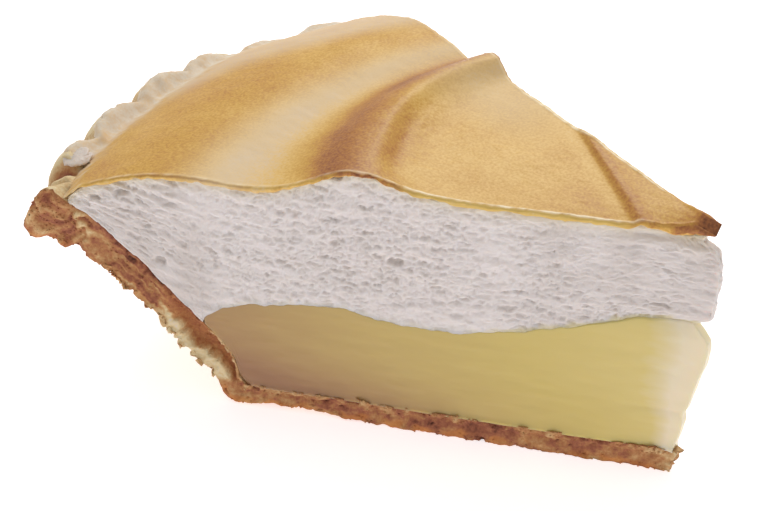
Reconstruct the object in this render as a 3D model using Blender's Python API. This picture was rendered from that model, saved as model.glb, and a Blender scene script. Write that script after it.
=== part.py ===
"""One slice of lemon meringue pie: an eighth of a pie baked in a nine-inch tin.

Three solids, from the table up:
  pastry_crust   flat base, sloping side and crimped rim
  lemon_filling  set lemon curd that fills the pastry and domes towards the pie's centre
  meringue       beaten egg white over the curd, with the swirls that a spatula leaves

A surface is worked out from two things: r, the distance from the pie's centre, and turn,
which runs from 0 at one cut face to 1 at the other. The tip of the slice points to +X and
+Z is up. The origin lies on the table, under the middle of the slice's bounding box.
Sizes are in metres.
"""

import math

import bmesh
import bpy

MM = 0.001

# The slice
SLICES_IN_A_PIE = 8
SLICE_ANGLE = 2 * math.pi / SLICES_IN_A_PIE
TIP_RADIUS = 2.0 * MM  # the knife leaves a blunt tip
LAYER_GAP = 0.35 * MM  # clearance between neighbouring solids

# The soft layers lean forward at the tip, as (height, reach)
NOSE = (
    (5.0 * MM, -0.6 * MM),
    (16.0 * MM, 0.7 * MM),
    (30.0 * MM, 2.8 * MM),
    (46.0 * MM, 2.8 * MM),
    (53.0 * MM, 0.6 * MM),
)
NOSE_LENGTH = 12.0 * MM

# Pastry: base and side, as (r, height) where a single number won't do
BASE_THICKNESS = 5.0 * MM
BASE_EDGE_RADIUS = 87.0 * MM
SIDE_OUTSIDE = (
    (88.0 * MM, 1.2 * MM),
    (88.4 * MM, 4.6 * MM),
    (90.4 * MM, 8.2 * MM),
    (96.4 * MM, 13.4 * MM),
    (100.6 * MM, 20.4 * MM),
    (106.8 * MM, 26.4 * MM),
    (112.4 * MM, 31.6 * MM),
)
SIDE_INSIDE = (
    (83.0 * MM, BASE_THICKNESS),
    (84.5 * MM, 7.0 * MM),
    (85.4 * MM, 11.4 * MM),
    (87.6 * MM, 15.2 * MM),
    (103.5 * MM, 33.0 * MM),
    (112.0 * MM, 41.4 * MM),
    (114.7 * MM, 42.5 * MM),
)

# Pastry: rim, crimped into lobes with a crease between each two
LOBES_IN_A_PIE = 50
LOBE_PITCH = SLICES_IN_A_PIE / LOBES_IN_A_PIE
FIRST_CREASE = 0.045
LOBE_ROUNDNESS = 0.6  # below 1 the lobes are full and the creases sharp
RIM_UNDERSIDE = 33.2 * MM
RIM_RADIUS = 122.6 * MM  # at a crease
LOBE_REACH = 2.8 * MM
RIM_WIDEST_HEIGHT = 38.0 * MM
RIM_TOP_RADIUS = 117.4 * MM  # at a crease
RIM_TOP_HEIGHT = 45.2 * MM  # at a crease
LOBE_RISE = 1.5 * MM

# Pastry: how the rim's section is rounded, as (r, height) steps from its main points
RIM_HEEL_STEP = (2.4 * MM, 0.0)  # from the side's last point
RIM_TOE_STEP = (-3.0 * MM, 0.4 * MM)  # from the underside at the crease
RIM_LOWER_STEP = (-1.8 * MM, 1.5 * MM)  # from the underside at the widest point
RIM_WIDEST_STEPS = ((0.0, -1.2 * MM), (-0.4 * MM, 0.8 * MM))  # below and above the widest point
RIM_UPPER_BULGE = 0.9 * MM
RIM_CREST_STEPS = ((1.3 * MM, -0.9 * MM), (-1.4 * MM, -0.7 * MM))  # outside and inside the top
RIM_INNER_BULGE, RIM_INNER_DIP = 0.4 * MM, 0.7 * MM

# Pastry: towards the far cut the side and the rim droop
DROOP = 5.6 * MM
DROOP_FROM_TURN, DROOP_TO_TURN = 0.48, 0.86
DROOP_FROM_RADIUS, DROOP_TO_RADIUS = 98.0 * MM, 120.0 * MM

# Lemon filling, at the near cut
FILLING_LEVEL = 25.5 * MM
FILLING_CENTRE_RISE = 10.4 * MM
FILLING_CENTRE_SPREAD = 45.0 * MM
FILLING_SWELL_RADIUS, FILLING_SWELL_WIDTH = 67.0 * MM, 6.0 * MM
FILLING_SWELL = 1.9 * MM
FILLING_SHOULDER_START, FILLING_SHOULDER_END = 74.0 * MM, 91.0 * MM
FILLING_SHOULDER_DROP, FILLING_SHOULDER_POWER = 5.6 * MM, 3.0
FILLING_EDGE_RADIUS = 90.8 * MM
FILLING_RIPPLE, FILLING_RIPPLE_LENGTH = 1.1 * MM, 52.0 * MM

# Meringue: each pair is the value at the near cut and at the far cut
MERINGUE_EDGE_RADIUS = 114.2 * MM
PLATEAU_LEVEL = (54.4 * MM, 55.7 * MM)
DOME_LEVEL = (52.4 * MM, 54.8 * MM)
DOME_RADIUS = (89.0 * MM, 86.0 * MM)
DOME_FALL = (5.8 * MM, 11.4 * MM)
DOME_FALL_POWER = (2.2, 1.5)
PLATEAU_END, DOME_START = 50.0 * MM, 80.0 * MM
EDGE_SWELL, EDGE_SWELL_TURN, EDGE_SWELL_WIDTH = 1.6 * MM, 0.62, 0.14
EDGE_SWELL_RADIUS = 96.0 * MM
VALLEY_DEPTH, VALLEY_WIDTH = (0.6 * MM, 1.1 * MM), (5.0 * MM, 2.6 * MM)
VALLEY_RADIUS = (80.0 * MM, 70.6 * MM)
SWIRL_RADIUS = (61.6 * MM, 62.2 * MM)
SWIRL_BOW = 2.4 * MM  # the swirl bows outwards between the two cuts
SWIRL_HEIGHT = (4.0 * MM, 3.6 * MM)
SWIRL_OUTER_WIDTH = (6.4 * MM, 3.7 * MM)
SWIRL_INNER_WIDTH = (7.0 * MM, 2.6 * MM)
SECOND_SWIRL_INSET = (4.2 * MM, 8.2 * MM)
SECOND_SWIRL_HEIGHT, SECOND_SWIRL_WIDTH = 1.0 * MM, 1.6 * MM
GROOVE_INSET = (1.8 * MM, 3.6 * MM)
GROOVE_DEPTH, GROOVE_WIDTH = 0.8 * MM, 1.3 * MM
SECOND_SWIRL_FULL_TURN, SECOND_SWIRL_FADE = 0.3, 0.5  # it fades in, then sinks by this share

# Meringue: a straight stroke across the tip, with the tip side a little higher
STROKE_START, STROKE_START_TURN = 12.6 * MM, 0.0
STROKE_END, STROKE_END_TURN = 32.2 * MM, 0.95
STROKE_STEP, STROKE_STEP_WIDTH = 0.5 * MM, 0.9 * MM
STROKE_CREST, STROKE_CREST_WIDTH = 0.3 * MM, 1.2 * MM

# Mesh fineness
COLUMNS_PER_LOBE = 8
COLUMNS = 18
LAYERS = 4
COARSE_STEP = 5.0 * MM
FINE_STEP = 2.2 * MM
SWIRL_STEP = FINE_STEP / 1.5
DOME_STEP = FINE_STEP * 1.2
STROKE_AREA_STEP = FINE_STEP * 2
SHARP_EDGE = math.radians(40)

# Finishes: linear colour and roughness
SHORTCRUST = ((0.56, 0.31, 0.14), 0.8)
LEMON_CURD = ((0.72, 0.62, 0.22), 0.4)
BROWNED_MERINGUE = ((0.80, 0.60, 0.32), 0.6)


def smooth(share):
    """0 below 0, 1 above 1, and an S curve between."""
    share = min(1.0, max(0.0, share))
    return share * share * (3 - 2 * share)


def bump(offset, width):
    """A bell curve of height 1 at offset 0."""
    return math.exp(-0.5 * (offset / width) ** 2)


def across(pair, turn):
    """The value between a near-cut and a far-cut value."""
    return pair[0] + (pair[1] - pair[0]) * turn


def between(points, at):
    """The value at one place on the line through the points, level past its ends."""
    if at <= points[0][0]:
        return points[0][1]
    for (start, first), (end, last) in zip(points, points[1:]):
        if at <= end:
            return first + (last - first) * (at - start) / (end - start)
    return points[-1][1]


def place(r, turn, z):
    """The point at r, turn and height z, with the cut lines meeting in a blunt tip."""
    angle = (turn - 0.5) * SLICE_ANGLE
    return (-r * math.cos(angle), math.hypot(r, TIP_RADIUS) * math.sin(angle), z)


def nose(r, z):
    """How far the soft layers bulge forward at the tip."""
    return between(NOSE, z) * math.exp(-((r / NOSE_LENGTH) ** 2))


# ---- pastry ------------------------------------------------------------------------------


def droop(r, turn):
    """How far the pastry hangs below its usual height."""
    along = smooth((turn - DROOP_FROM_TURN) / (DROOP_TO_TURN - DROOP_FROM_TURN))
    return DROOP * along * smooth((r - DROOP_FROM_RADIUS) / (DROOP_TO_RADIUS - DROOP_FROM_RADIUS))


def pastry_inside(r, turn):
    """Height of the pastry that the filling and the meringue rest on."""
    return between(SIDE_INSIDE, r) - droop(r, turn)


def lobe(turn):
    """How far the crimped rim stands out: 0 in a crease, 1 in the middle of a lobe."""
    wave = abs(math.sin(math.pi * (turn - FIRST_CREASE) / LOBE_PITCH))
    return wave**LOBE_ROUNDNESS


def stepped(r, z, step):
    """The (r, height) point one step away from r and z."""
    return (r + step[0], z + step[1])


def rim_section(turn):
    """The rim's (r, height) points, from its underside over the top to the inside."""
    out = lobe(turn)
    widest = RIM_RADIUS + LOBE_REACH * out
    top_r = RIM_TOP_RADIUS + LOBE_REACH * out
    top_z = RIM_TOP_HEIGHT + LOBE_RISE * out
    inside_r, inside_z = SIDE_INSIDE[-1]
    middle_z = (RIM_WIDEST_HEIGHT + top_z) / 2
    inner_z = (top_z + inside_z) / 2 - RIM_INNER_DIP * (1 - out)
    below, above = RIM_WIDEST_STEPS
    outer, inner = RIM_CREST_STEPS
    return [
        stepped(SIDE_OUTSIDE[-1][0], RIM_UNDERSIDE, RIM_HEEL_STEP),
        stepped(RIM_RADIUS, RIM_UNDERSIDE, RIM_TOE_STEP),
        stepped(widest, RIM_UNDERSIDE, RIM_LOWER_STEP),
        stepped(widest, RIM_WIDEST_HEIGHT, below),
        stepped(widest, RIM_WIDEST_HEIGHT, above),
        ((widest + top_r) / 2 + RIM_UPPER_BULGE, middle_z),
        stepped(top_r, top_z, outer),
        (top_r, top_z),
        stepped(top_r, top_z, inner),
        ((top_r + inside_r) / 2 + RIM_INNER_BULGE, inner_z),
    ]


def pastry_section(turn):
    """The pastry's outline at one turn, from the base's edge round to its inner floor."""
    points = [(BASE_EDGE_RADIUS, 0.0), *SIDE_OUTSIDE, *rim_section(turn), *reversed(SIDE_INSIDE)]
    return [(r, z - droop(r, turn)) for r, z in points]


def pastry_turns():
    """Where the pastry's sections stand: evenly within each lobe, and at both cuts."""
    step = LOBE_PITCH / COLUMNS_PER_LOBE
    first = math.ceil(-FIRST_CREASE / step)
    inner = [FIRST_CREASE + step * (first + i) for i in range(math.ceil(1 / step) + 1)]
    return [0.0] + [turn for turn in inner if step / 4 < turn < 1 - step / 4] + [1.0]


def pastry_mesh():
    """The base as two flat faces, and the side and rim swept from cut to cut."""
    bm = bmesh.new()
    rows = []
    for turn in pastry_turns():
        rows.append([bm.verts.new(place(r, turn, z)) for r, z in pastry_section(turn)])
    tip = [[bm.verts.new(place(0.0, turn, z)) for z in (0.0, BASE_THICKNESS)] for turn in (0, 1)]
    for left, right in zip(rows, rows[1:]):
        for low in range(len(left) - 1):
            bm.faces.new((left[low], left[low + 1], right[low + 1], right[low]))
    bm.faces.new([tip[0][0], tip[1][0]] + [row[0] for row in reversed(rows)])
    bm.faces.new([tip[1][1], tip[0][1]] + [row[-1] for row in rows])
    bm.faces.new([tip[0][1], tip[0][0]] + rows[0])
    bm.faces.new([tip[1][0], tip[1][1]] + list(reversed(rows[-1])))
    bm.faces.new((tip[0][0], tip[0][1], tip[1][1], tip[1][0]))
    return finished(bm, "pastry_crust")


# ---- soft layers -------------------------------------------------------------------------


def filling_underside(r, turn):
    """The filling's lower surface, just clear of the pastry."""
    return pastry_inside(r + LAYER_GAP, turn) + LAYER_GAP


def filling_top(r, turn):
    """The curd's upper surface: high at the centre, rounded off against the pastry."""
    z = FILLING_LEVEL + FILLING_CENTRE_RISE * (1 - smooth(r / FILLING_CENTRE_SPREAD))
    z += FILLING_SWELL * bump(r - FILLING_SWELL_RADIUS, FILLING_SWELL_WIDTH)
    z += FILLING_RIPPLE * turn * math.sin(2 * math.pi * r / FILLING_RIPPLE_LENGTH)
    shoulder = (r - FILLING_SHOULDER_START) / (FILLING_SHOULDER_END - FILLING_SHOULDER_START)
    return z - FILLING_SHOULDER_DROP * max(0.0, shoulder) ** FILLING_SHOULDER_POWER


def meringue_underside(r, turn):
    """The meringue's lower surface, over the filling and then over the pastry."""
    on_filling = filling_top(min(r, FILLING_EDGE_RADIUS), turn) + LAYER_GAP
    return max(on_filling, pastry_inside(r + LAYER_GAP, turn) + LAYER_GAP)


def stroke_distance(r, turn):
    """Distance from the straight stroke, positive on the tip's side."""
    x0, y0, _ = place(STROKE_START, STROKE_START_TURN, 0)
    x1, y1, _ = place(STROKE_END, STROKE_END_TURN, 0)
    x, y, _ = place(r, turn, 0)
    return ((x - x0) * (y1 - y0) - (y - y0) * (x1 - x0)) / math.hypot(x1 - x0, y1 - y0)


def dome(r, turn):
    """The spread meringue without its swirls: a plateau, a dome and a fall to the rim."""
    step = smooth((r - PLATEAU_END) / (DOME_START - PLATEAU_END))
    z = across(PLATEAU_LEVEL, turn) * (1 - step) + across(DOME_LEVEL, turn) * step
    crest = across(DOME_RADIUS, turn)
    fall = max(0.0, (r - crest) / (MERINGUE_EDGE_RADIUS - crest))
    z -= across(DOME_FALL, turn) * fall ** across(DOME_FALL_POWER, turn)
    heap = smooth((r - EDGE_SWELL_RADIUS) / (MERINGUE_EDGE_RADIUS - EDGE_SWELL_RADIUS))
    z += EDGE_SWELL * heap * bump(turn - EDGE_SWELL_TURN, EDGE_SWELL_WIDTH)
    valley = bump(r - across(VALLEY_RADIUS, turn), across(VALLEY_WIDTH, turn))
    return z - across(VALLEY_DEPTH, turn) * valley


def swirl_radius(turn):
    """Where the main swirl's crest runs."""
    return across(SWIRL_RADIUS, turn) + SWIRL_BOW * math.sin(math.pi * turn)


def swirls(r, turn):
    """Height of the spatula's curved ridges and the groove between them."""
    crest = swirl_radius(turn)
    side = SWIRL_OUTER_WIDTH if r > crest else SWIRL_INNER_WIDTH
    fade = smooth(turn / SECOND_SWIRL_FULL_TURN) * (1 - SECOND_SWIRL_FADE * turn)
    z = across(SWIRL_HEIGHT, turn) * bump(r - crest, across(side, turn))
    second = r - crest + across(SECOND_SWIRL_INSET, turn)
    groove = r - crest + across(GROOVE_INSET, turn)
    z += SECOND_SWIRL_HEIGHT * fade * bump(second, SECOND_SWIRL_WIDTH)
    return z - GROOVE_DEPTH * fade * bump(groove, GROOVE_WIDTH)


def meringue_top(r, turn):
    """The meringue's browned upper surface."""
    along = stroke_distance(r, turn)
    stroke = STROKE_STEP * smooth(0.5 + along / STROKE_STEP_WIDTH)
    stroke += STROKE_CREST * bump(along - STROKE_CREST_WIDTH, STROKE_CREST_WIDTH)
    stroke *= 1 - smooth((r - STROKE_END) / STROKE_END)
    return dome(r, turn) + swirls(r, turn) + stroke


def stations(stops):
    """Distances from the centre, evenly spaced between stops of (r, step to reach it)."""
    found = [0.0]
    for r, step in stops:
        start = found[-1]
        count = max(1, round((r - start) / step))
        found += [start + (r - start) * (i + 1) / count for i in range(count)]
    return found


def layer_mesh(name, distances, underside, top):
    """A closed layer between two surfaces, with straight sides along the cuts."""
    bm = bmesh.new()
    last_r, last_column, last_layer = len(distances) - 1, COLUMNS, LAYERS
    made = {}

    def corner(i, j, k):
        if (i, j, k) not in made:
            r, turn = distances[i], j / COLUMNS
            low = underside(r, turn)
            z = low + (top(r, turn) - low) * k / LAYERS
            x, y, z = place(r, turn, z)
            made[i, j, k] = bm.verts.new((x + nose(r, z), y, z))
        return made[i, j, k]

    for i in range(last_r):
        for j in range(last_column):
            for k, flip in ((0, 1), (last_layer, -1)):
                ring = [corner(i, j, k), corner(i + 1, j, k), corner(i + 1, j + 1, k), corner(i, j + 1, k)]
                bm.faces.new(ring[::flip])
        for k in range(last_layer):
            for j, flip in ((0, -1), (last_column, 1)):
                ring = [corner(i, j, k), corner(i + 1, j, k), corner(i + 1, j, k + 1), corner(i, j, k + 1)]
                bm.faces.new(ring[::flip])
    for j in range(last_column):
        for k in range(last_layer):
            for i, flip in ((0, 1), (last_r, -1)):
                ring = [corner(i, j, k), corner(i, j + 1, k), corner(i, j + 1, k + 1), corner(i, j, k + 1)]
                bm.faces.new(ring[::flip])
    return finished(bm, name)


def filling_mesh():
    """The lemon filling, with a station at each bend of the pastry under it."""
    bends = [(r - LAYER_GAP, FINE_STEP) for r, _ in SIDE_INSIDE[1:4]]
    stops = [(SIDE_INSIDE[0][0] - LAYER_GAP, COARSE_STEP), *bends, (FILLING_EDGE_RADIUS, FINE_STEP)]
    return layer_mesh("lemon_filling", stations(stops), filling_underside, filling_top)


def meringue_mesh():
    """The meringue, finer where the swirls are and at the filling's edge."""
    stops = [
        (STROKE_END, STROKE_AREA_STEP),
        (PLATEAU_END, COARSE_STEP),
        (VALLEY_RADIUS[1], SWIRL_STEP),
        (FILLING_EDGE_RADIUS, DOME_STEP),
        (FILLING_EDGE_RADIUS + 2 * LAYER_GAP, FINE_STEP),
        (SIDE_INSIDE[4][0] - LAYER_GAP, COARSE_STEP),
        (SIDE_INSIDE[5][0] - LAYER_GAP, DOME_STEP),
        (MERINGUE_EDGE_RADIUS, FINE_STEP),
    ]
    return layer_mesh("meringue", stations(stops), meringue_underside, meringue_top)


# ---- scene -------------------------------------------------------------------------------


def finished(bm, name):
    """The bmesh as a mesh with its faces pointing out."""
    bmesh.ops.recalc_face_normals(bm, faces=bm.faces)
    mesh = bpy.data.meshes.new(name)
    bm.to_mesh(mesh)
    bm.free()
    return mesh


def food_material(name, colour, roughness):
    """A plain material of one colour, for a food that isn't metallic."""
    material = bpy.data.materials.new(name)
    material.use_nodes = True
    shader = material.node_tree.nodes["Principled BSDF"]
    shader.inputs["Base Color"].default_value = (*colour, 1.0)
    shader.inputs["Roughness"].default_value = roughness
    shader.inputs["Metallic"].default_value = 0.0
    material.diffuse_color = (*colour, 1.0)
    return material


def add_piece(mesh, material, parent):
    """Links a mesh as an object under the pie's centre."""
    piece = bpy.data.objects.new(mesh.name, mesh)
    piece.data.materials.append(material)
    piece.data.shade_smooth()
    piece.data.set_sharp_from_angle(angle=SHARP_EDGE)
    piece.parent = parent
    bpy.context.scene.collection.objects.link(piece)
    return piece


def middle(meshes, axis):
    """The middle of the meshes' bounding box along one axis."""
    values = [vertex.co[axis] for mesh in meshes for vertex in mesh.vertices]
    return (min(values) + max(values)) / 2


def main():
    for old in list(bpy.data.objects):
        bpy.data.objects.remove(old)
    baked = food_material("baked_shortcrust", *SHORTCRUST)
    curd = food_material("lemon_curd", *LEMON_CURD)
    foam = food_material("browned_meringue", *BROWNED_MERINGUE)
    meshes = [pastry_mesh(), filling_mesh(), meringue_mesh()]
    pie_centre = bpy.data.objects.new("pie_centre", None)
    pie_centre.location = (-middle(meshes, 0), -middle(meshes, 1), 0.0)
    bpy.context.scene.collection.objects.link(pie_centre)
    for mesh, material in zip(meshes, (baked, curd, foam)):
        add_piece(mesh, material, pie_centre)


main()
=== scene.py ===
"""One slice of lemon meringue pie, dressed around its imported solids.

The slice is an eighth of a pie. Its tip points to +X, +Z is up, and a surface is worked out
from two things: r, the distance from the pie's centre in millimetres, and turn, which runs
from 0 at the near cut face to 1 at the far one.

Sub-assemblies, from the table up:
  Pastry     the shortcrust body, its flakes and its crumbs
  Curd       the set lemon filling
  Meringue   the beaten egg white, its toasted skin and a dab of it on the rim
  Studio     the table top, the lights and the camera
"""

import itertools
import logging
import math
from collections.abc import Mapping, Sequence
from dataclasses import dataclass, field
from enum import Enum

import bpy
import numpy as np
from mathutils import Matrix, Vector


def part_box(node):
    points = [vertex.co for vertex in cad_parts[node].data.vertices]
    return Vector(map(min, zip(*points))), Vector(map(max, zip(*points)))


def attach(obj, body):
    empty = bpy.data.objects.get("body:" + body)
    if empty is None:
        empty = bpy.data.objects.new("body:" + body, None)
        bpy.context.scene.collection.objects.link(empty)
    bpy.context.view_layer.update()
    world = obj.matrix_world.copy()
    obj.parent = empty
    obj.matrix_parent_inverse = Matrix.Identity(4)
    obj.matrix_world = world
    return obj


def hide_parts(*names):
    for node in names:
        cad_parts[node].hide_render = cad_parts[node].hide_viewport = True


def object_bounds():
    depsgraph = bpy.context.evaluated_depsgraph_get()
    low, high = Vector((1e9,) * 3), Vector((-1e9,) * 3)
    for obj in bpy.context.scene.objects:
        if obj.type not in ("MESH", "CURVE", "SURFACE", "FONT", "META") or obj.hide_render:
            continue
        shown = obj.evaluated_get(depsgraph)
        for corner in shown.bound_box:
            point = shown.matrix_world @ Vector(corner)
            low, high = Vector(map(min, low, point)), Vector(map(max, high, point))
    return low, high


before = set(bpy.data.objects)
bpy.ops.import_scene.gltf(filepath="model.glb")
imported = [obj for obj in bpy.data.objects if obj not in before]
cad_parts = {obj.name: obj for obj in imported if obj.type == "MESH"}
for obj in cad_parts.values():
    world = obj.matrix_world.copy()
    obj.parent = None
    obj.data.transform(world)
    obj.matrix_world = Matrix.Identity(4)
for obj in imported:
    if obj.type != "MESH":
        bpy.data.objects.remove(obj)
CAD_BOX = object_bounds()

LOG = logging.getLogger("lemon_meringue_pie")
MM = 0.001
ROOT_BODY = "root"

Array = np.ndarray
Numbers = float | Array
Pair = tuple[float, float]
Triple = tuple[float, float, float]
Points = Sequence[Pair]
Tones = Sequence[tuple[float, str]]
Tree = bpy.types.NodeTree
Node = bpy.types.Node
Socket = bpy.types.NodeSocket
Material = bpy.types.Material
Piece = bpy.types.Object


# ---- arithmetic --------------------------------------------------------------------------


def smooth(share: Numbers) -> Array:
    """0 below 0, 1 above 1, and an S curve between."""
    share = np.clip(share, 0.0, 1.0)
    return share * share * (3 - 2 * share)


def ramp(value: Numbers, zero: Numbers, full: Numbers) -> Array:
    """0 up to one value, 1 from another on, and an S curve between; either may be the larger."""
    return smooth((value - zero) / (full - zero))


def bump(offset: Numbers, width: Numbers) -> Array:
    """A bell curve of height 1 at offset 0."""
    return np.exp(-0.5 * (offset / width) ** 2)


def across(pair: Pair, turn: Numbers) -> Numbers:
    """The value between a near-cut and a far-cut value."""
    return pair[0] + (pair[1] - pair[0]) * turn


def between(points: Points, at: Numbers) -> Array:
    """The value on the line through the points, level past its ends."""
    places, values = zip(*points)
    return np.interp(at, places, values)


def stations(*stops: Pair) -> Array:
    """Places along a line.

    Args:
        stops: pairs of (place, step to reach it); the first pair's step isn't used.

    Returns:
        The places, evenly spaced between each two stops.
    """
    found = [stops[0][0]]
    for end, step in stops[1:]:
        start = found[-1]
        count = max(1, round((end - start) / step))
        found += [start + (end - start) * (n + 1) / count for n in range(count)]
    return np.array(found)


def lattice(cell: Array, seed: int) -> Array:
    """A fixed random value from -1 to 1 for each whole-number cell.

    Args:
        cell: the cells' numbers, on the last axis.
        seed: picks one of many patterns.

    Returns:
        One value for each cell.
    """
    x, y, z = (cell[..., axis].astype(np.int64) for axis in range(3))
    mixed = (x * 374761393 + y * 668265263 + z * 2147483647 + seed * 974634777) & 0xFFFFFFFF
    mixed = ((mixed ^ (mixed >> 13)) * 1274126177) & 0xFFFFFFFF
    return ((mixed ^ (mixed >> 16)) & 0xFFFF) / 32767.5 - 1


def joined(x: Numbers, y: Numbers, z: Numbers) -> Array:
    """The points with these coordinates, which are on the last axis."""
    return np.stack(np.broadcast_arrays(x, y, z), axis=-1)


def noise(points: Array, size: float | Sequence[float], seed: int, octaves: int = 1) -> Array:
    """Smooth random values over space.

    Args:
        points: places in millimetres, with x, y and z on the last axis.
        size: the size of one wave in millimetres, or its size along x, y and z.
        seed: picks one of many patterns.
        octaves: how many finer patterns are laid on top, each half as strong.

    Returns:
        One value for each point, mostly within -1 and 1.
    """
    total = np.zeros(points.shape[:-1])
    for octave in range(octaves):
        scaled = points / np.asarray(size, float) * 2**octave
        cell = np.floor(scaled)
        local = smooth(scaled - cell)
        value = np.zeros(total.shape)
        for corner in itertools.product((0, 1), repeat=3):
            weight = np.prod(np.where(np.array(corner), local, 1 - local), axis=-1)
            value += weight * lattice(cell + np.array(corner), seed + octave)
        total += value * 0.5**octave
    return total


# ---- the slice's shape -------------------------------------------------------------------


@dataclass(frozen=True)
class PieShape:
    """The slice's curves and surfaces, in millimetres from the pie's centre."""

    angle: float = math.pi / 4
    tip_radius: float = 2.0
    nose_reach: float = 2.8
    # pastry: the inside of its base and side
    side_inside: Points = (
        (83.0, 5.0), (84.5, 7.0), (85.4, 11.4), (87.6, 15.2), (103.5, 33.0), (112.0, 41.4),
        (114.7, 42.5),
    )
    # pastry: crimped rim
    lobe_pitch: float = 0.16
    first_crease: float = 0.045
    lobe_roundness: float = 0.6
    rim_radius: float = 122.6
    lobe_reach: float = 2.8
    rim_widest_height: float = 38.0
    rim_top_radius: float = 117.4
    rim_top_height: float = 45.2
    lobe_rise: float = 1.5
    rim_fall_power: float = 1.8
    # pastry: the far side droops
    droop_depth: float = 5.6
    droop_turns: Pair = (0.48, 0.86)
    droop_radii: Pair = (98.0, 120.0)
    # curd
    filling_level: float = 25.5
    filling_centre_rise: float = 10.4
    filling_centre_spread: float = 45.0
    filling_swell: float = 1.9
    filling_swell_radius: float = 67.0
    filling_swell_width: float = 6.0
    filling_shoulder: Pair = (74.0, 91.0)
    filling_shoulder_drop: float = 5.6
    filling_shoulder_power: float = 3.0
    filling_edge_radius: float = 90.8
    filling_ripple: float = 1.1
    filling_ripple_length: float = 52.0
    # meringue: each pair is the value at the near cut and at the far cut
    meringue_edge_radius: float = 114.2
    plateau_level: Pair = (54.4, 55.7)
    dome_level: Pair = (52.4, 54.8)
    dome_radius: Pair = (89.0, 86.0)
    dome_fall: Pair = (5.8, 11.4)
    dome_fall_power: Pair = (2.2, 1.5)
    plateau_end: float = 50.0
    dome_start: float = 80.0
    edge_swell: float = 1.6
    edge_swell_turn: float = 0.62
    edge_swell_width: float = 0.14
    edge_swell_radius: float = 96.0
    valley_depth: Pair = (0.6, 1.1)
    valley_width: Pair = (5.0, 2.6)
    valley_radius: Pair = (80.0, 70.6)
    swirl_radii: Pair = (61.6, 62.2)
    swirl_bow: float = 2.4
    swirl_height: Pair = (4.0, 3.6)
    swirl_outer_width: Pair = (6.4, 3.7)
    swirl_inner_width: Pair = (7.0, 2.6)
    second_swirl_inset: Points = ((0.0, 3.6), (0.3, 3.4), (0.5, 2.2), (0.75, 1.6), (1.0, 1.6))
    second_swirl_height: float = 0.5
    second_swirl_width: float = 1.5
    second_swirl_start: Pair = (-0.05, 0.25)
    groove_inset: Points = ((0.0, 7.6), (0.3, 6.6), (0.5, 4.4), (0.75, 2.9), (1.0, 3.6))
    groove_depth: float = 0.45
    groove_width: float = 1.3
    stroke_start: Pair = (12.6, 0.0)
    stroke_end: Pair = (32.2, 0.95)
    stroke_step: float = 0.5
    stroke_step_width: float = 0.9
    stroke_crest: float = 0.3
    stroke_crest_width: float = 1.2

    def place(self, r: Numbers, turn: Numbers, z: Numbers) -> Array:
        """The points at r, turn and height z, with x, y and z on the last axis.

        Args:
            r: distance from the pie's centre.
            turn: 0 at the near cut and 1 at the far one.
            z: height above the table.

        Returns:
            The places.
        """
        angle = (turn - 0.5) * self.angle
        x = -r * np.cos(angle)
        y = np.hypot(r, self.tip_radius) * np.sin(angle)
        return joined(x, y, z)

    def outward(self, turn: Array) -> Array:
        """The unit direction away from the nearer cut face, at each turn.

        Args:
            turn: 0 at the near cut and 1 at the far one.

        Returns:
            One direction for each turn.
        """
        angle = (turn - 0.5) * self.angle
        side = np.where(turn < 0.5, -1.0, 1.0)
        return joined(side * np.sin(angle), side * np.cos(angle), 0.0)

    def from_cut(self, r: Numbers, turn: Numbers) -> Array:
        """Distance along the arc to the nearer cut face."""
        return np.minimum(turn, 1 - turn) * self.angle * r

    def droop(self, r: Numbers, turn: Numbers) -> Array:
        """How far the pastry hangs below its usual height."""
        return self.droop_depth * ramp(turn, *self.droop_turns) * ramp(r, *self.droop_radii)

    def pastry_inside(self, r: Numbers, turn: Numbers) -> Array:
        """Height of the pastry that the curd and the meringue rest on."""
        return between(self.side_inside, r) - self.droop(r, turn)

    def lobe(self, turn: Numbers) -> Array:
        """How far the crimped rim stands out: 0 in a crease, 1 in the middle of a lobe."""
        wave = np.abs(np.sin(np.pi * (turn - self.first_crease) / self.lobe_pitch))
        return wave**self.lobe_roundness

    def rim_top(self, r: Array, turn: Array) -> Array:
        """Height of the rim's upper surface.

        Args:
            r: distance from the pie's centre.
            turn: 0 at the near cut and 1 at the far one.

        Returns:
            The heights.
        """
        out = self.lobe(turn)
        top_r = self.rim_top_radius + self.lobe_reach * out
        top_z = self.rim_top_height + self.lobe_rise * out
        inside_r, inside_z = self.side_inside[-1]
        rising = inside_z + (top_z - inside_z) * ramp(r, inside_r, top_r)
        edge = self.rim_radius + self.lobe_reach * out
        over = np.clip((r - top_r) / (edge - top_r), 0, 1)
        falling = top_z - (top_z - self.rim_widest_height) * over**self.rim_fall_power
        return np.where(r < top_r, rising, falling) - self.droop(r, turn)

    def filling_top(self, r: Array, turn: Array) -> Array:
        """The curd's upper surface: high at the centre, rounded off against the pastry.

        Args:
            r: distance from the pie's centre.
            turn: 0 at the near cut and 1 at the far one.

        Returns:
            The heights.
        """
        z = self.filling_level
        z = z + self.filling_centre_rise * (1 - smooth(r / self.filling_centre_spread))
        z += self.filling_swell * bump(r - self.filling_swell_radius, self.filling_swell_width)
        z += self.filling_ripple * turn * np.sin(2 * np.pi * r / self.filling_ripple_length)
        start, end = self.filling_shoulder
        over = np.clip((r - start) / (end - start), 0, None)
        return z - self.filling_shoulder_drop * over**self.filling_shoulder_power

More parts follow.
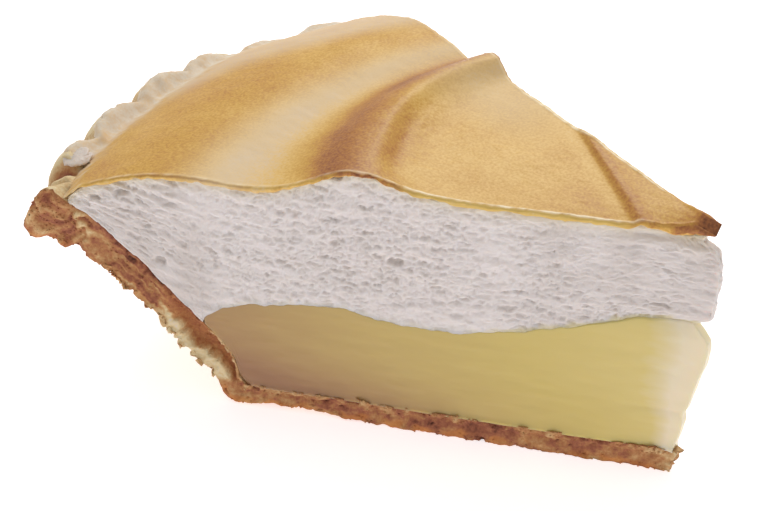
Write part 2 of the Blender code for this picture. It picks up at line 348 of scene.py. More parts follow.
    def stroke_distance(self, r: Array, turn: Array) -> Array:
        """Distance from the straight stroke, positive on the tip's side.

        Args:
            r: distance from the pie's centre.
            turn: 0 at the near cut and 1 at the far one.

        Returns:
            The distances.
        """
        ends = (self.place(*end, 0.0) for end in (self.stroke_start, self.stroke_end))
        (x0, y0, _), (x1, y1, _) = ends
        spot = self.place(r, turn, 0.0)
        x, y = spot[..., 0], spot[..., 1]
        return ((x - x0) * (y1 - y0) - (y - y0) * (x1 - x0)) / math.hypot(x1 - x0, y1 - y0)

    def dome(self, r: Array, turn: Array) -> Array:
        """The spread meringue without its swirls: a plateau, a dome and a fall to the rim.

        Args:
            r: distance from the pie's centre.
            turn: 0 at the near cut and 1 at the far one.

        Returns:
            The heights.
        """
        step = ramp(r, self.plateau_end, self.dome_start)
        z = across(self.plateau_level, turn) * (1 - step) + across(self.dome_level, turn) * step
        crest = across(self.dome_radius, turn)
        fall = np.clip((r - crest) / (self.meringue_edge_radius - crest), 0, None)
        z -= across(self.dome_fall, turn) * fall ** across(self.dome_fall_power, turn)
        heap = ramp(r, self.edge_swell_radius, self.meringue_edge_radius)
        z += self.edge_swell * heap * bump(turn - self.edge_swell_turn, self.edge_swell_width)
        valley = bump(r - across(self.valley_radius, turn), across(self.valley_width, turn))
        return z - across(self.valley_depth, turn) * valley

    def swirl_radius(self, turn: Array) -> Array:
        """Where the main swirl's crest runs."""
        return across(self.swirl_radii, turn) + self.swirl_bow * np.sin(np.pi * turn)

    def swirls(self, r: Array, turn: Array) -> Array:
        """Height of the spatula's curved ridges and the groove between them.

        Args:
            r: distance from the pie's centre.
            turn: 0 at the near cut and 1 at the far one.

        Returns:
            What they add to the dome's height.
        """
        crest = self.swirl_radius(turn)
        outer, inner = across(self.swirl_outer_width, turn), across(self.swirl_inner_width, turn)
        fade = ramp(turn, *self.second_swirl_start) * (1 - 0.5 * turn)
        z = across(self.swirl_height, turn) * bump(r - crest, np.where(r > crest, outer, inner))
        second = r - crest + between(self.second_swirl_inset, turn)
        z += self.second_swirl_height * fade * bump(second, self.second_swirl_width)
        return z - self.groove_depth * fade * bump(self.from_groove(r, turn), self.groove_width)

    def from_groove(self, r: Array, turn: Array) -> Array:
        """How far outside the groove a point lies, on the tip's side of the main swirl."""
        return r - self.swirl_radius(turn) + between(self.groove_inset, turn)

    def meringue_top(self, r: Array, turn: Array) -> Array:
        """The meringue's browned upper surface.

        Args:
            r: distance from the pie's centre.
            turn: 0 at the near cut and 1 at the far one.

        Returns:
            The heights.
        """
        along = self.stroke_distance(r, turn)
        stroke = self.stroke_step * smooth(0.5 + along / self.stroke_step_width)
        stroke += self.stroke_crest * bump(along - self.stroke_crest_width, self.stroke_crest_width)
        end = self.stroke_end[0]
        return self.dome(r, turn) + self.swirls(r, turn) + stroke * ramp(r, 2 * end, end)


SHAPE = PieShape()


def pie_centre() -> Array:
    """The pie's centre on the table in millimetres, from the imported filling's box."""
    low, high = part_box("lemon_filling")
    return np.array([high[0] / MM - SHAPE.nose_reach, (low[1] + high[1]) / 2 / MM, 0.0])


# ---- meshes ------------------------------------------------------------------------------


class Block:
    """The closed surface of a solid made of a grid of cells.

    Attributes:
        shape: the number of cells along the three directions.
        i, j, k: each surface vertex's station along the three directions.
        is_cut: whether it lies on one of the slice's two cut faces, the ends of the second one.
        quads: four vertex numbers for each face.
    """

    def __init__(self, cells_i: int, cells_j: int, cells_k: int) -> None:
        """Numbers the vertices and lists the faces.

        Args:
            cells_i: the number of cells along the first direction.
            cells_j: the number along the second, from cut to cut.
            cells_k: the number along the third.
        """
        self.shape = (cells_i, cells_j, cells_k)
        grid = np.indices([count + 1 for count in self.shape])
        shell = np.zeros(grid[0].shape, bool)
        for axis, count in enumerate(self.shape):
            shell |= grid[axis] % count == 0
        number = np.full(shell.shape, -1)
        number[shell] = np.arange(shell.sum())
        self.i, self.j, self.k = (grid[axis][shell] for axis in range(3))
        self.is_cut = self.j % cells_j == 0
        sides = []
        for axis, end in itertools.product(range(3), (0, 1)):
            side = np.take(number, end * self.shape[axis], axis=axis)
            ring = [side[:-1, :-1], side[1:, :-1], side[1:, 1:], side[:-1, 1:]]
            turned = (end == 0) == (axis != 1)
            sides.append(np.stack(ring[::-1] if turned else ring, axis=-1).reshape(-1, 4))
        self.quads = np.concatenate(sides)


def add_object(name: str, data: bpy.types.ID) -> Piece:
    """A new object in the scene, at the origin.

    Args:
        name: its name.
        data: its mesh, light or camera.

    Returns:
        The object.
    """
    added = bpy.data.objects.new(name, data)
    bpy.context.scene.collection.objects.link(added)
    return added


def make_piece(
    name: str, points: Array, quads: Array, values: Mapping[str, Array], material: Material | None = None
) -> Piece:
    """Makes a smooth mesh object with its faces pointing out.

    Args:
        name: the piece's name.
        points: vertex places in millimetres from the pie's centre.
        quads: four vertex numbers for each face.
        values: one number, or one direction, for each vertex, by attribute name.
        material: its finish, if a geometry tree doesn't set it later.

    Returns:
        The object, at the origin and linked to the scene.
    """
    a, b, c, d = (points[quads[:, corner]] for corner in range(4))
    volume = np.einsum("ij,ij->i", a, np.cross(b, c) + np.cross(c, d)).sum()
    if volume < 0:
        quads = quads[:, ::-1]
    mesh = bpy.data.meshes.new(name)
    mesh.from_pydata(((points + pie_centre()) * MM).tolist(), [], quads.tolist())
    for title, data in values.items():
        is_number = data.ndim == 1
        layer = mesh.attributes.new(title, "FLOAT" if is_number else "FLOAT_VECTOR", "POINT")
        layer.data.foreach_set("value" if is_number else "vector", data.astype(np.float32).ravel())
    mesh.shade_smooth()
    if material:
        mesh.materials.append(material)
    return add_object(name, mesh)


def keep_in_box(mesh: bpy.types.Mesh) -> None:
    """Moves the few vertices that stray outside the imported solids' box onto its sides.

    Args:
        mesh: the finished piece's mesh.
    """
    places = np.empty(3 * len(mesh.vertices), np.float32)
    mesh.vertices.foreach_get("co", places)
    inside = np.clip(places.reshape(-1, 3), *np.array(CAD_BOX))
    mesh.vertices.foreach_set("co", inside.ravel())
    mesh.update()


def hand_over(piece: Piece, node: str) -> None:
    """Ties a finished piece to the frame and reports it.

    Args:
        piece: the finished piece.
        node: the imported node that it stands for.
    """
    keep_in_box(piece.data)
    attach(piece, ROOT_BODY)
    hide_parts(node)
    triangles = sum(len(face.vertices) - 2 for face in piece.data.polygons)
    LOG.info("%s stands for %s, %d triangles", piece.name, node, triangles)


# ---- nodes -------------------------------------------------------------------------------


def linear(colour: str) -> tuple[float, float, float, float]:
    """An sRGB hex colour such as "#C4924C" as linear red, green, blue and alpha.

    Args:
        colour: the hex colour.

    Returns:
        The linear colour.
    """
    parts = [int(colour[start : start + 2], 16) / 255 for start in (1, 3, 5)]
    curve = [part / 12.92 if part <= 0.04045 else ((part + 0.055) / 1.055) ** 2.4 for part in parts]
    return (*curve, 1.0)


def fill_inputs(tree: Tree, node: Node, values: Mapping[str | int, object]) -> None:
    """Sets or links a node's inputs.

    Args:
        tree: the node tree.
        node: the node.
        values: what goes into each input, by its name or number: a number, a socket to link, or
            a node, whose first output in use is linked.
    """
    for key, value in values.items():
        found = [socket for socket in node.inputs if socket.enabled and socket.name == key]
        socket = node.inputs[key] if isinstance(key, int) else found[0]
        if isinstance(value, Node):
            value = next(output for output in value.outputs if output.enabled)
        if isinstance(value, Socket):
            tree.links.new(value, socket)
        else:
            socket.default_value = value


def add_node(
    tree: Tree,
    kind: str,
    values: Mapping[str | int, object] | None = None,
    stops: Tones = (),
    **settings: object,
) -> Node:
    """Adds a node with its settings and links.

    Args:
        tree: the node tree.
        kind: the node's type.
        values: what goes into each input, as fill_inputs takes it.
        stops: a colour ramp's places and hex colours.
        settings: the node's own properties.

    Returns:
        The node.
    """
    node = tree.nodes.new(kind)
    for name, value in settings.items():
        setattr(node, name, value)
    fill_inputs(tree, node, values or {})
    for place, _ in stops[2:]:
        node.color_ramp.elements.new(place)
    for element, (place, colour) in zip(node.color_ramp.elements if stops else (), stops):
        element.position = place
        element.color = linear(colour)
    return node


NAMED_ATTRIBUTE = "GeometryNodeInputNamedAttribute"


def add_nodes(
    tree: Tree, kind: str, rows: Sequence[Mapping[str | int, object]], **settings: object
) -> list[Node]:
    """Adds a node of one kind for each row of input values."""
    return [add_node(tree, kind, values, **settings) for values in rows]


def named(*titles: str) -> list[dict[str, object]]:
    """The input values of nodes that each take one of these names."""
    return [{"Name": title} for title in titles]


class SocketKind(Enum):
    """The kinds of input that a geometry tree takes."""

    GEOMETRY = "NodeSocketGeometry"
    NUMBER = "NodeSocketFloat"
    WHOLE = "NodeSocketInt"
    MATERIAL = "NodeSocketMaterial"


def new_geometry_tree(name: str, inputs: Mapping[str, SocketKind]) -> tuple[Tree, Node]:
    """Starts a geometry tree.

    Args:
        name: the tree's name.
        inputs: the kind of each named input between the geometry and the material.

    Returns:
        The tree and its Group Input node.
    """
    tree = bpy.data.node_groups.new(name, "GeometryNodeTree")
    tree.interface.new_socket("Geometry", in_out="OUTPUT", socket_type=SocketKind.GEOMETRY.value)
    for title, kind in {"Geometry": SocketKind.GEOMETRY, **inputs, "Material": SocketKind.MATERIAL}.items():
        tree.interface.new_socket(title, in_out="INPUT", socket_type=kind.value)
    return tree, add_node(tree, "NodeGroupInput")


def end_geometry_tree(tree: Tree, given: Node, geometry: Node) -> None:
    """Ends a tree in Realize Instances and Set Material.

    Args:
        tree: the geometry tree.
        given: its Group Input node, with the material.
        geometry: the node that makes the finished shape.
    """
    real = add_node(tree, "GeometryNodeRealizeInstances", {"Geometry": geometry})
    dressed = {"Geometry": real, "Material": given.outputs["Material"]}
    add_node(tree, "NodeGroupOutput", {"Geometry": add_node(tree, "GeometryNodeSetMaterial", dressed)})


def displace(tree: Tree, geometry: Node | Socket, way: object, amount: object) -> Node:
    """Moves a geometry's points.

    Args:
        tree: the geometry tree.
        geometry: what is moved.
        way: the node with the direction at each point.
        amount: the node or number of how far it moves, as a share of that direction.

    Returns:
        The node with the moved geometry.
    """
    push = add_node(tree, "ShaderNodeVectorMath", {0: way, "Scale": amount}, operation="SCALE")
    return add_node(tree, "GeometryNodeSetPosition", {"Geometry": geometry, "Offset": push})


def run_tree(tree: Tree, source: Piece, values: Mapping[str, object]) -> bpy.types.Mesh:
    """Runs a geometry tree on an object and keeps the result as a plain mesh.

    Args:
        tree: the geometry tree.
        source: the object whose mesh goes in.
        values: what goes into each named input.

    Returns:
        The new mesh; the object keeps its old one and no modifier.
    """
    modifier = source.modifiers.new(tree.name, "NODES")
    modifier.node_group = tree
    for item in tree.interface.items_tree:
        if item.in_out == "INPUT" and item.name in values:
            modifier[item.identifier] = values[item.name]
    bpy.context.view_layer.update()
    graph = bpy.context.evaluated_depsgraph_get()
    mesh = bpy.data.meshes.new_from_object(
        source.evaluated_get(graph), preserve_all_data_layers=True, depsgraph=graph
    )
    source.modifiers.remove(modifier)
    return mesh


def shape_piece(tree: Tree, piece: Piece, values: Mapping[str, object]) -> Piece:
    """Replaces a piece's mesh by what a geometry tree makes of it.

    Args:
        tree: the geometry tree.
        piece: the piece.
        values: what goes into each named input.

    Returns:
        The same piece.
    """
    rough = piece.data
    piece.data = run_tree(tree, piece, values)
    bpy.data.meshes.remove(rough)
    piece.data.name = piece.name
    piece.data.shade_smooth()
    return piece


SCATTER_INPUTS = {"Size": SocketKind.NUMBER, "Seed": SocketKind.WHOLE}
GRAIN_SIZES = {"Min": 0.35, "Max": 1.0}  # as a share of the Size input
GRAIN_LUMP = 0.7  # the size in millimetres of the lumps on one grain
ANY_WAY = 3.1  # radians: a grain may be turned by nearly half a turn either way


def scatter(tree: Tree, given: Node, grain: Node, density: str, tilt: float, ruggedness: float) -> None:
    """Finishes a tree that strews uneven copies of one grain over a surface.

    Args:
        tree: the geometry tree, with SCATTER_INPUTS.
        given: its Group Input node.
        grain: the node that makes one grain, about 1 wide; the Size input scales it.
        density: the surface's attribute with the number of grains for each square metre.
        tilt: the most that a grain leans, in radians.
        ruggedness: how far its corners are pushed about, as a share of its size.
    """
    size, seed = given.outputs["Size"], given.outputs["Seed"]
    wanted = add_node(tree, NAMED_ATTRIBUTE, {"Name": density}, data_type="FLOAT")
    spots = add_node(
        tree,
        "GeometryNodeDistributePointsOnFaces",
        {"Mesh": given.outputs["Geometry"], "Density": wanted, "Seed": seed},
        distribute_method="RANDOM",
    )
    leaning = {"Min": (-tilt, -tilt, -ANY_WAY), "Max": (tilt, tilt, ANY_WAY), "Seed": seed}
    lean = add_node(tree, "FunctionNodeRandomValue", leaning, data_type="FLOAT_VECTOR")
    each = add_node(tree, "FunctionNodeRandomValue", {**GRAIN_SIZES, "Seed": seed}, data_type="FLOAT")
    scale = add_node(tree, "ShaderNodeMath", {0: each, 1: size}, operation="MULTIPLY")
    laid = add_node(
        tree,
        "GeometryNodeInstanceOnPoints",
        {"Points": spots, "Instance": grain, "Rotation": spots.outputs["Rotation"], "Scale": scale},
    )
    turning = {"Instances": laid, "Rotation": lean, "Local Space": True}
    turned = add_node(tree, "GeometryNodeRotateInstances", turning)
    real = add_node(tree, "GeometryNodeRealizeInstances", {"Geometry": turned})
    place = add_node(tree, "GeometryNodeInputPosition")
    lumps = {"Vector": place, "Scale": 1 / (GRAIN_LUMP * MM), "Detail": 2.0}
    rough = add_node(tree, "ShaderNodeTexNoise", lumps)
    middle = {0: rough.outputs["Color"], 1: (0.5, 0.5, 0.5)}
    centred = add_node(tree, "ShaderNodeVectorMath", middle, operation="SUBTRACT")
    reach = add_node(tree, "ShaderNodeMath", {0: size, 1: 4 * ruggedness}, operation="MULTIPLY")
    end_geometry_tree(tree, given, displace(tree, real, centred, reach))


# ---- finishes ----------------------------------------------------------------------------


class Surface:
    """A material in the making.

    Attributes:
        material: the material.
        tree: its node tree.
        place: the Object coordinates that its patterns follow.
    """

    def __init__(self, name: str) -> None:
        """Starts a material with a Principled shader.

        Args:
            name: the material's name.
        """
        self.material = bpy.data.materials.new(name)
        self.material.use_nodes = True
        self.tree = self.material.node_tree
        self.place = add_node(self.tree, "ShaderNodeTexCoord").outputs["Object"]

    def sized(self, size: float, **values: float) -> dict[str, object]:
        """A pattern's input values: its size in millimetres, and others by their names."""
        return {"Vector": self.place, "Scale": 1 / (size * MM), **values}

    def vary(self, level: object, pattern: Node, reach: Pair, operation: str) -> Node:
        """Makes a level uneven.

        Args:
            level: the socket or node with the level.
            pattern: a noise pattern, of which the middle part is stretched over the reach.
            reach: the lowest and highest value that it takes.
            operation: how it joins the level.

        Returns:
            The node with the uneven level.
        """
        low, high = reach
        middle = {"Value": pattern, "From Min": 0.3, "From Max": 0.7, "To Min": low, "To Max": high}
        joining = {0: level, 1: add_node(self.tree, "ShaderNodeMapRange", middle)}
        return add_node(self.tree, "ShaderNodeMath", joining, operation=operation)

    def paint(self, title: str, tones: Tones, unevenness: Sequence[tuple[Node, float]]) -> Node:
        """Colours the surface along an attribute, made uneven by patterns.

        Args:
            title: the attribute's name.
            tones: the colours along it.
            unevenness: each pattern, with how far it pushes the attribute up and down.

        Returns:
            The node with the colour.
        """
        level = add_node(self.tree, "ShaderNodeAttribute", attribute_name=title).outputs["Fac"]
        for pattern, reach in unevenness:
            level = self.vary(level, pattern, (-reach, reach), "ADD")
        return add_node(self.tree, "ShaderNodeValToRGB", {"Fac": level}, stops=tones)

    def tint(
        self, colour: object, tints: Mapping[str, str], pattern: Node | None = None, reach: float = 0.0
    ) -> Node:
        """Lays tints over a colour, each by the attribute of its name.

        Args:
            colour: the node, or the colour, under them.
            tints: a hex colour for each attribute.
            pattern: a pattern that makes each tint uneven.
            reach: how far the pattern pushes it up and down, as a share of the tint.

        Returns:
            The node with the colour.
        """
        for title, tint in tints.items():
            share = add_node(self.tree, "ShaderNodeAttribute", attribute_name=title).outputs["Fac"]
            if pattern:
                share = self.vary(share, pattern, (1 - reach, 1 + reach), "MULTIPLY")
            mixed = {"Factor": share, "A": colour, "B": linear(tint)}
            colour = add_node(self.tree, "ShaderNodeMix", mixed, data_type="RGBA")
        return colour

    def finish(
        self, values: Mapping[str, object], height: object = None, strength: float = 0.0, depth: float = 0.0
    ) -> Material:
        """Fills the shader's inputs.

        Args:
            values: what goes into each input.
            height: the pattern of a fine relief, if it has one.
            strength: how strong that relief is.
            depth: how deep it is, in millimetres.

        Returns:
            The material.
        """
        if height:
            relief = {"Height": height, "Strength": strength, "Distance": depth * MM}
            values = {**values, "Normal": add_node(self.tree, "ShaderNodeBump", relief)}
        fill_inputs(self.tree, self.tree.nodes["Principled BSDF"], values)
        return self.material


@dataclass(frozen=True)
class ToastedMeringueFinish:
    """Egg white and sugar browned under a grill: satin gold, speckled, brown on its crests."""

    tones: Tones = (
        (0.0, "#E0D2C8"),
        (0.2, "#E2C7A2"),
        (0.38, "#E8BE6E"),
        (0.52, "#D6A652"),
        (0.66, "#C08646"),
        (0.8, "#A2663E"),
        (0.92, "#784A30"),
        (1.0, "#5C392C"),
    )
    film_and_light: str = "#E3D4BF"  # pale unbrowned skin, as over the rim; it is also painted light in the valley and on shaded flanks
    syrup: str = "#DDBE6C"  # where it was cut through, yellow with sugar syrup
    painted_highlight: str = "#FFEBC4"  # painted highlight: a thin bright line along the cut, where the rounded edge catches the light
    speck_size: float = 0.5  # sugar grains, drawn a little coarse so that they show
    mottle_size: float = 7.0
    speckle: float = 0.075
    mottle: float = 0.035
    tint_speckle: float = 0.2
    roughness: float = 0.45
    film_roughness: float = 0.85

    def material(self) -> Material:
        """Builds the finish from the piece's attributes for browning, pale skin, syrup and a painted
        highlight; the browning and the pale skin carry painted light as well.

        Returns:
            The material.
        """
        surface = Surface("toasted_meringue")
        sizes = (surface.sized(self.speck_size, Detail=2.0), surface.sized(self.mottle_size, Detail=3.0))
        specks, mottle = add_nodes(surface.tree, "ShaderNodeTexNoise", sizes)
        browned = surface.paint("toast_and_light", self.tones, ((specks, self.speckle), (mottle, self.mottle)))
        tints = {"film_and_light": self.film_and_light, "syrup": self.syrup, "painted_highlight": self.painted_highlight}
        thin = add_node(surface.tree, "ShaderNodeAttribute", attribute_name="film_and_light").outputs["Fac"]
        powdery = {"Value": thin, "To Min": self.roughness, "To Max": self.film_roughness}
        return surface.finish(
            {
                "Base Color": surface.tint(browned, tints, specks, self.tint_speckle),
                "Roughness": add_node(surface.tree, "ShaderNodeMapRange", powdery),
                "Specular IOR Level": 0.22,
            },
            specks,
            strength=0.35,
            depth=0.1,
        )


@dataclass(frozen=True)
class EggWhiteFoamFinish:
    """Baked egg-white foam: matt white walls round bubbles painted beige as shade, yellow where syrup soaked
    in.

    Light passes a little way into it, so its thin walls glow.
    """

    name: str = "egg_white_foam"
    wall: str = "#E9E2DF"
    # painted shade: the beige laid into the bubbles and into the foam's shaded parts
    hollow: str = "#CBC1BA"
    syrup: str = "#DCCB93"
    bubble_size: float = 0.5  # the small bubbles between the torn ones
    roughness: float = 0.8
    glow_depth: float = 1.2

    def material(self) -> Material:
        """Builds the finish from the piece's "pore" attribute, which is painted shade, and its "syrup"
        attribute.

        Returns:
            The material.
        """
        surface = Surface(self.name)
        bubbles = add_node(surface.tree, "ShaderNodeTexVoronoi", surface.sized(self.bubble_size))
        return surface.finish(
            {
                "Base Color": surface.tint(linear(self.wall), {"pore": self.hollow, "syrup": self.syrup}),
                "Roughness": self.roughness,
                "Specular IOR Level": 0.3,
                "Subsurface Weight": 0.6,
                "Subsurface Radius": (1.0, 0.85, 0.7),
                "Subsurface Scale": self.glow_depth * MM,
            },
            bubbles,
            strength=0.5,
            depth=0.12,
        )


@dataclass(frozen=True)
class LemonCurdFinish:
    """Set lemon curd cut with a wet knife: smooth, milky yellow and a little see-through.

    It is browner against the pastry and near the bottom, lighter higher up, and creamy at the tip.
    """

    tones: Tones = (
        (0.0, "#9F7450"),
        (0.14, "#B08C5A"),
        (0.4, "#C6AB66"),
        (0.66, "#D2BC6C"),
        (0.86, "#D9C57C"),
        (1.0, "#E6DABB"),
    )
    streak: Triple = (7.0, 7.0, 2.0)
    streakiness: float = 0.02
    roughness: float = 0.35
    glow_depth: float = 3.0

    def material(self) -> Material:
        """Builds the finish from the piece's "ripe" attribute, 0 at the pastry and 1 at the tip.

        Returns:
            The material.
        """
        surface = Surface("lemon_curd")
        scales = {"Vector": surface.place, "Scale": [1 / (size * MM) for size in self.streak]}
        stretched = add_node(surface.tree, "ShaderNodeMapping", scales)
        streaks = add_node(
            surface.tree, "ShaderNodeTexNoise", {"Vector": stretched, "Scale": 1.0, "Detail": 4.0}
        )
        return surface.finish(
            {
                "Base Color": surface.paint("ripe", self.tones, ((streaks, self.streakiness),)),
                "Roughness": self.roughness,
                "Subsurface Weight": 0.4,
                "Subsurface Radius": (1.0, 0.8, 0.35),
                "Subsurface Scale": self.glow_depth * MM,
            },
            streaks,
            strength=0.2,
            depth=0.12,
        )


@dataclass(frozen=True)
class ShortcrustFinish:
    """Baked shortcrust: dry and crumbly, pale in its flakes and orange-brown where it browned."""

    tones: Tones = (
        (0.0, "#DDD0C6"),
        (0.14, "#E5D1A4"),
        (0.28, "#D8B98A"),
        (0.42, "#C79C6B"),
        (0.56, "#B57E51"),
        (0.7, "#A06247"),
        (0.85, "#7C4733"),
        (1.0, "#4C2C21"),
    )
    butter: str = "#E0924A"  # orange in the crust's outer layers; along the bottom it is partly painted light from the bright card below
    crumb_size: float = 0.6
    blotch_size: float = 5.0
    crumbliness: float = 0.1
    blotchiness: float = 0.06
    roughness: float = 0.8

    def material(self) -> Material:
        """Builds the finish from the piece's "bake" attribute and its orange tint, which is partly painted
        light from below.

        Returns:
            The material.
        """
        surface = Surface("baked_shortcrust")
        fine = surface.sized(self.crumb_size, Detail=4.0, Roughness=0.6)
        coarse = surface.sized(self.blotch_size, Detail=3.0)
        crumbs, blotches = add_nodes(surface.tree, "ShaderNodeTexNoise", (fine, coarse))
        baked = surface.paint("bake", self.tones, ((crumbs, self.crumbliness), (blotches, self.blotchiness)))
        return surface.finish(
            {
                "Base Color": surface.tint(baked, {"butter": self.butter}),
                "Roughness": self.roughness,
                "Specular IOR Level": 0.3,
            },
            crumbs,
            strength=0.6,
            depth=0.25,
        )


@dataclass(frozen=True)
class MattBoardFinish:
    """Smooth white card: matt, with a faint fibre that keeps it from looking like plain light."""

    colour: str = "#FAF6F8"
    fibre: str = "#F6F2F4"
    fibre_size: float = 2.0
    roughness: float = 0.9
    glow: float = 0.62  # the card is lit from below as well

    def material(self) -> Material:
        """Builds the finish.

        Returns:
            The material.
        """
        surface = Surface("matt_white_card")
        fibres = add_node(surface.tree, "ShaderNodeTexNoise", surface.sized(self.fibre_size, Detail=2.0))
        fibrous = {"Factor": fibres, "A": linear(self.colour), "B": linear(self.fibre)}
        return surface.finish(
            {
                "Base Color": add_node(surface.tree, "ShaderNodeMix", fibrous, data_type="RGBA"),
                "Roughness": self.roughness,
                "Specular IOR Level": 0.2,
                "Emission Color": linear(self.colour),
                "Emission Strength": self.glow,
            }
        )


# ---- pastry ------------------------------------------------------------------------------


@dataclass(frozen=True)
class CrustZone:
    """The look of one zone of the broken crust.

    Attributes:
        tone: how brown it is: 0 is pale and 1 is dark brown.
        streaks: how much browner its streaks are, and so on for its lumps and its fine grain.
        outer_tone: how much browner its outer layer is, and inner_tone its inner one.
        depth: how far it is dug in, in millimetres, and crumbs how much more its crumbs are.
        flare: how far it juts out again at the outside, in millimetres.
        butter: how orange its outer layer is.
        crumb_count: how many crumbs cling to each square metre.
    """

    tone: float
    streaks: float = 0.0
    lumps: float = 0.0
    grain: float = 0.0
    outer_tone: float = 0.0
    inner_tone: float = 0.0
    depth: float = 0.0
    crumbs: float = 0.0
    flare: float = 0.0
    butter: float = 0.0
    crumb_count: float = 0.0


# the zones' orange outer layers are partly painted light from the bright card below
BASE = CrustZone(0.62, lumps=0.1, grain=0.08, depth=0.15, crumbs=0.25, flare=0.75)
FOOT = CrustZone(0.15, streaks=0.05, crumbs=0.3, flare=0.5, crumb_count=4e5)
WALL = CrustZone(
    0.63, streaks=0.22, grain=0.09, outer_tone=-0.28, inner_tone=0.1, depth=0.2, flare=0.75, butter=0.24,
    crumb_count=5e5,
)
SHOULDER = CrustZone(
    0.52, lumps=0.16, grain=0.1, outer_tone=0.06, depth=0.1, crumbs=0.2, flare=0.7, butter=0.08,
    crumb_count=5e5,
)
RIM = CrustZone(0.58, lumps=0.16, grain=0.14, depth=0.1, butter=0.3, crumb_count=1.4e6)
CUTS_APART = 57.0  # keeps the patterns of the two cut faces different
SKIN_LUMP = 1.8  # the size in millimetres of the lumps on the crust's skin


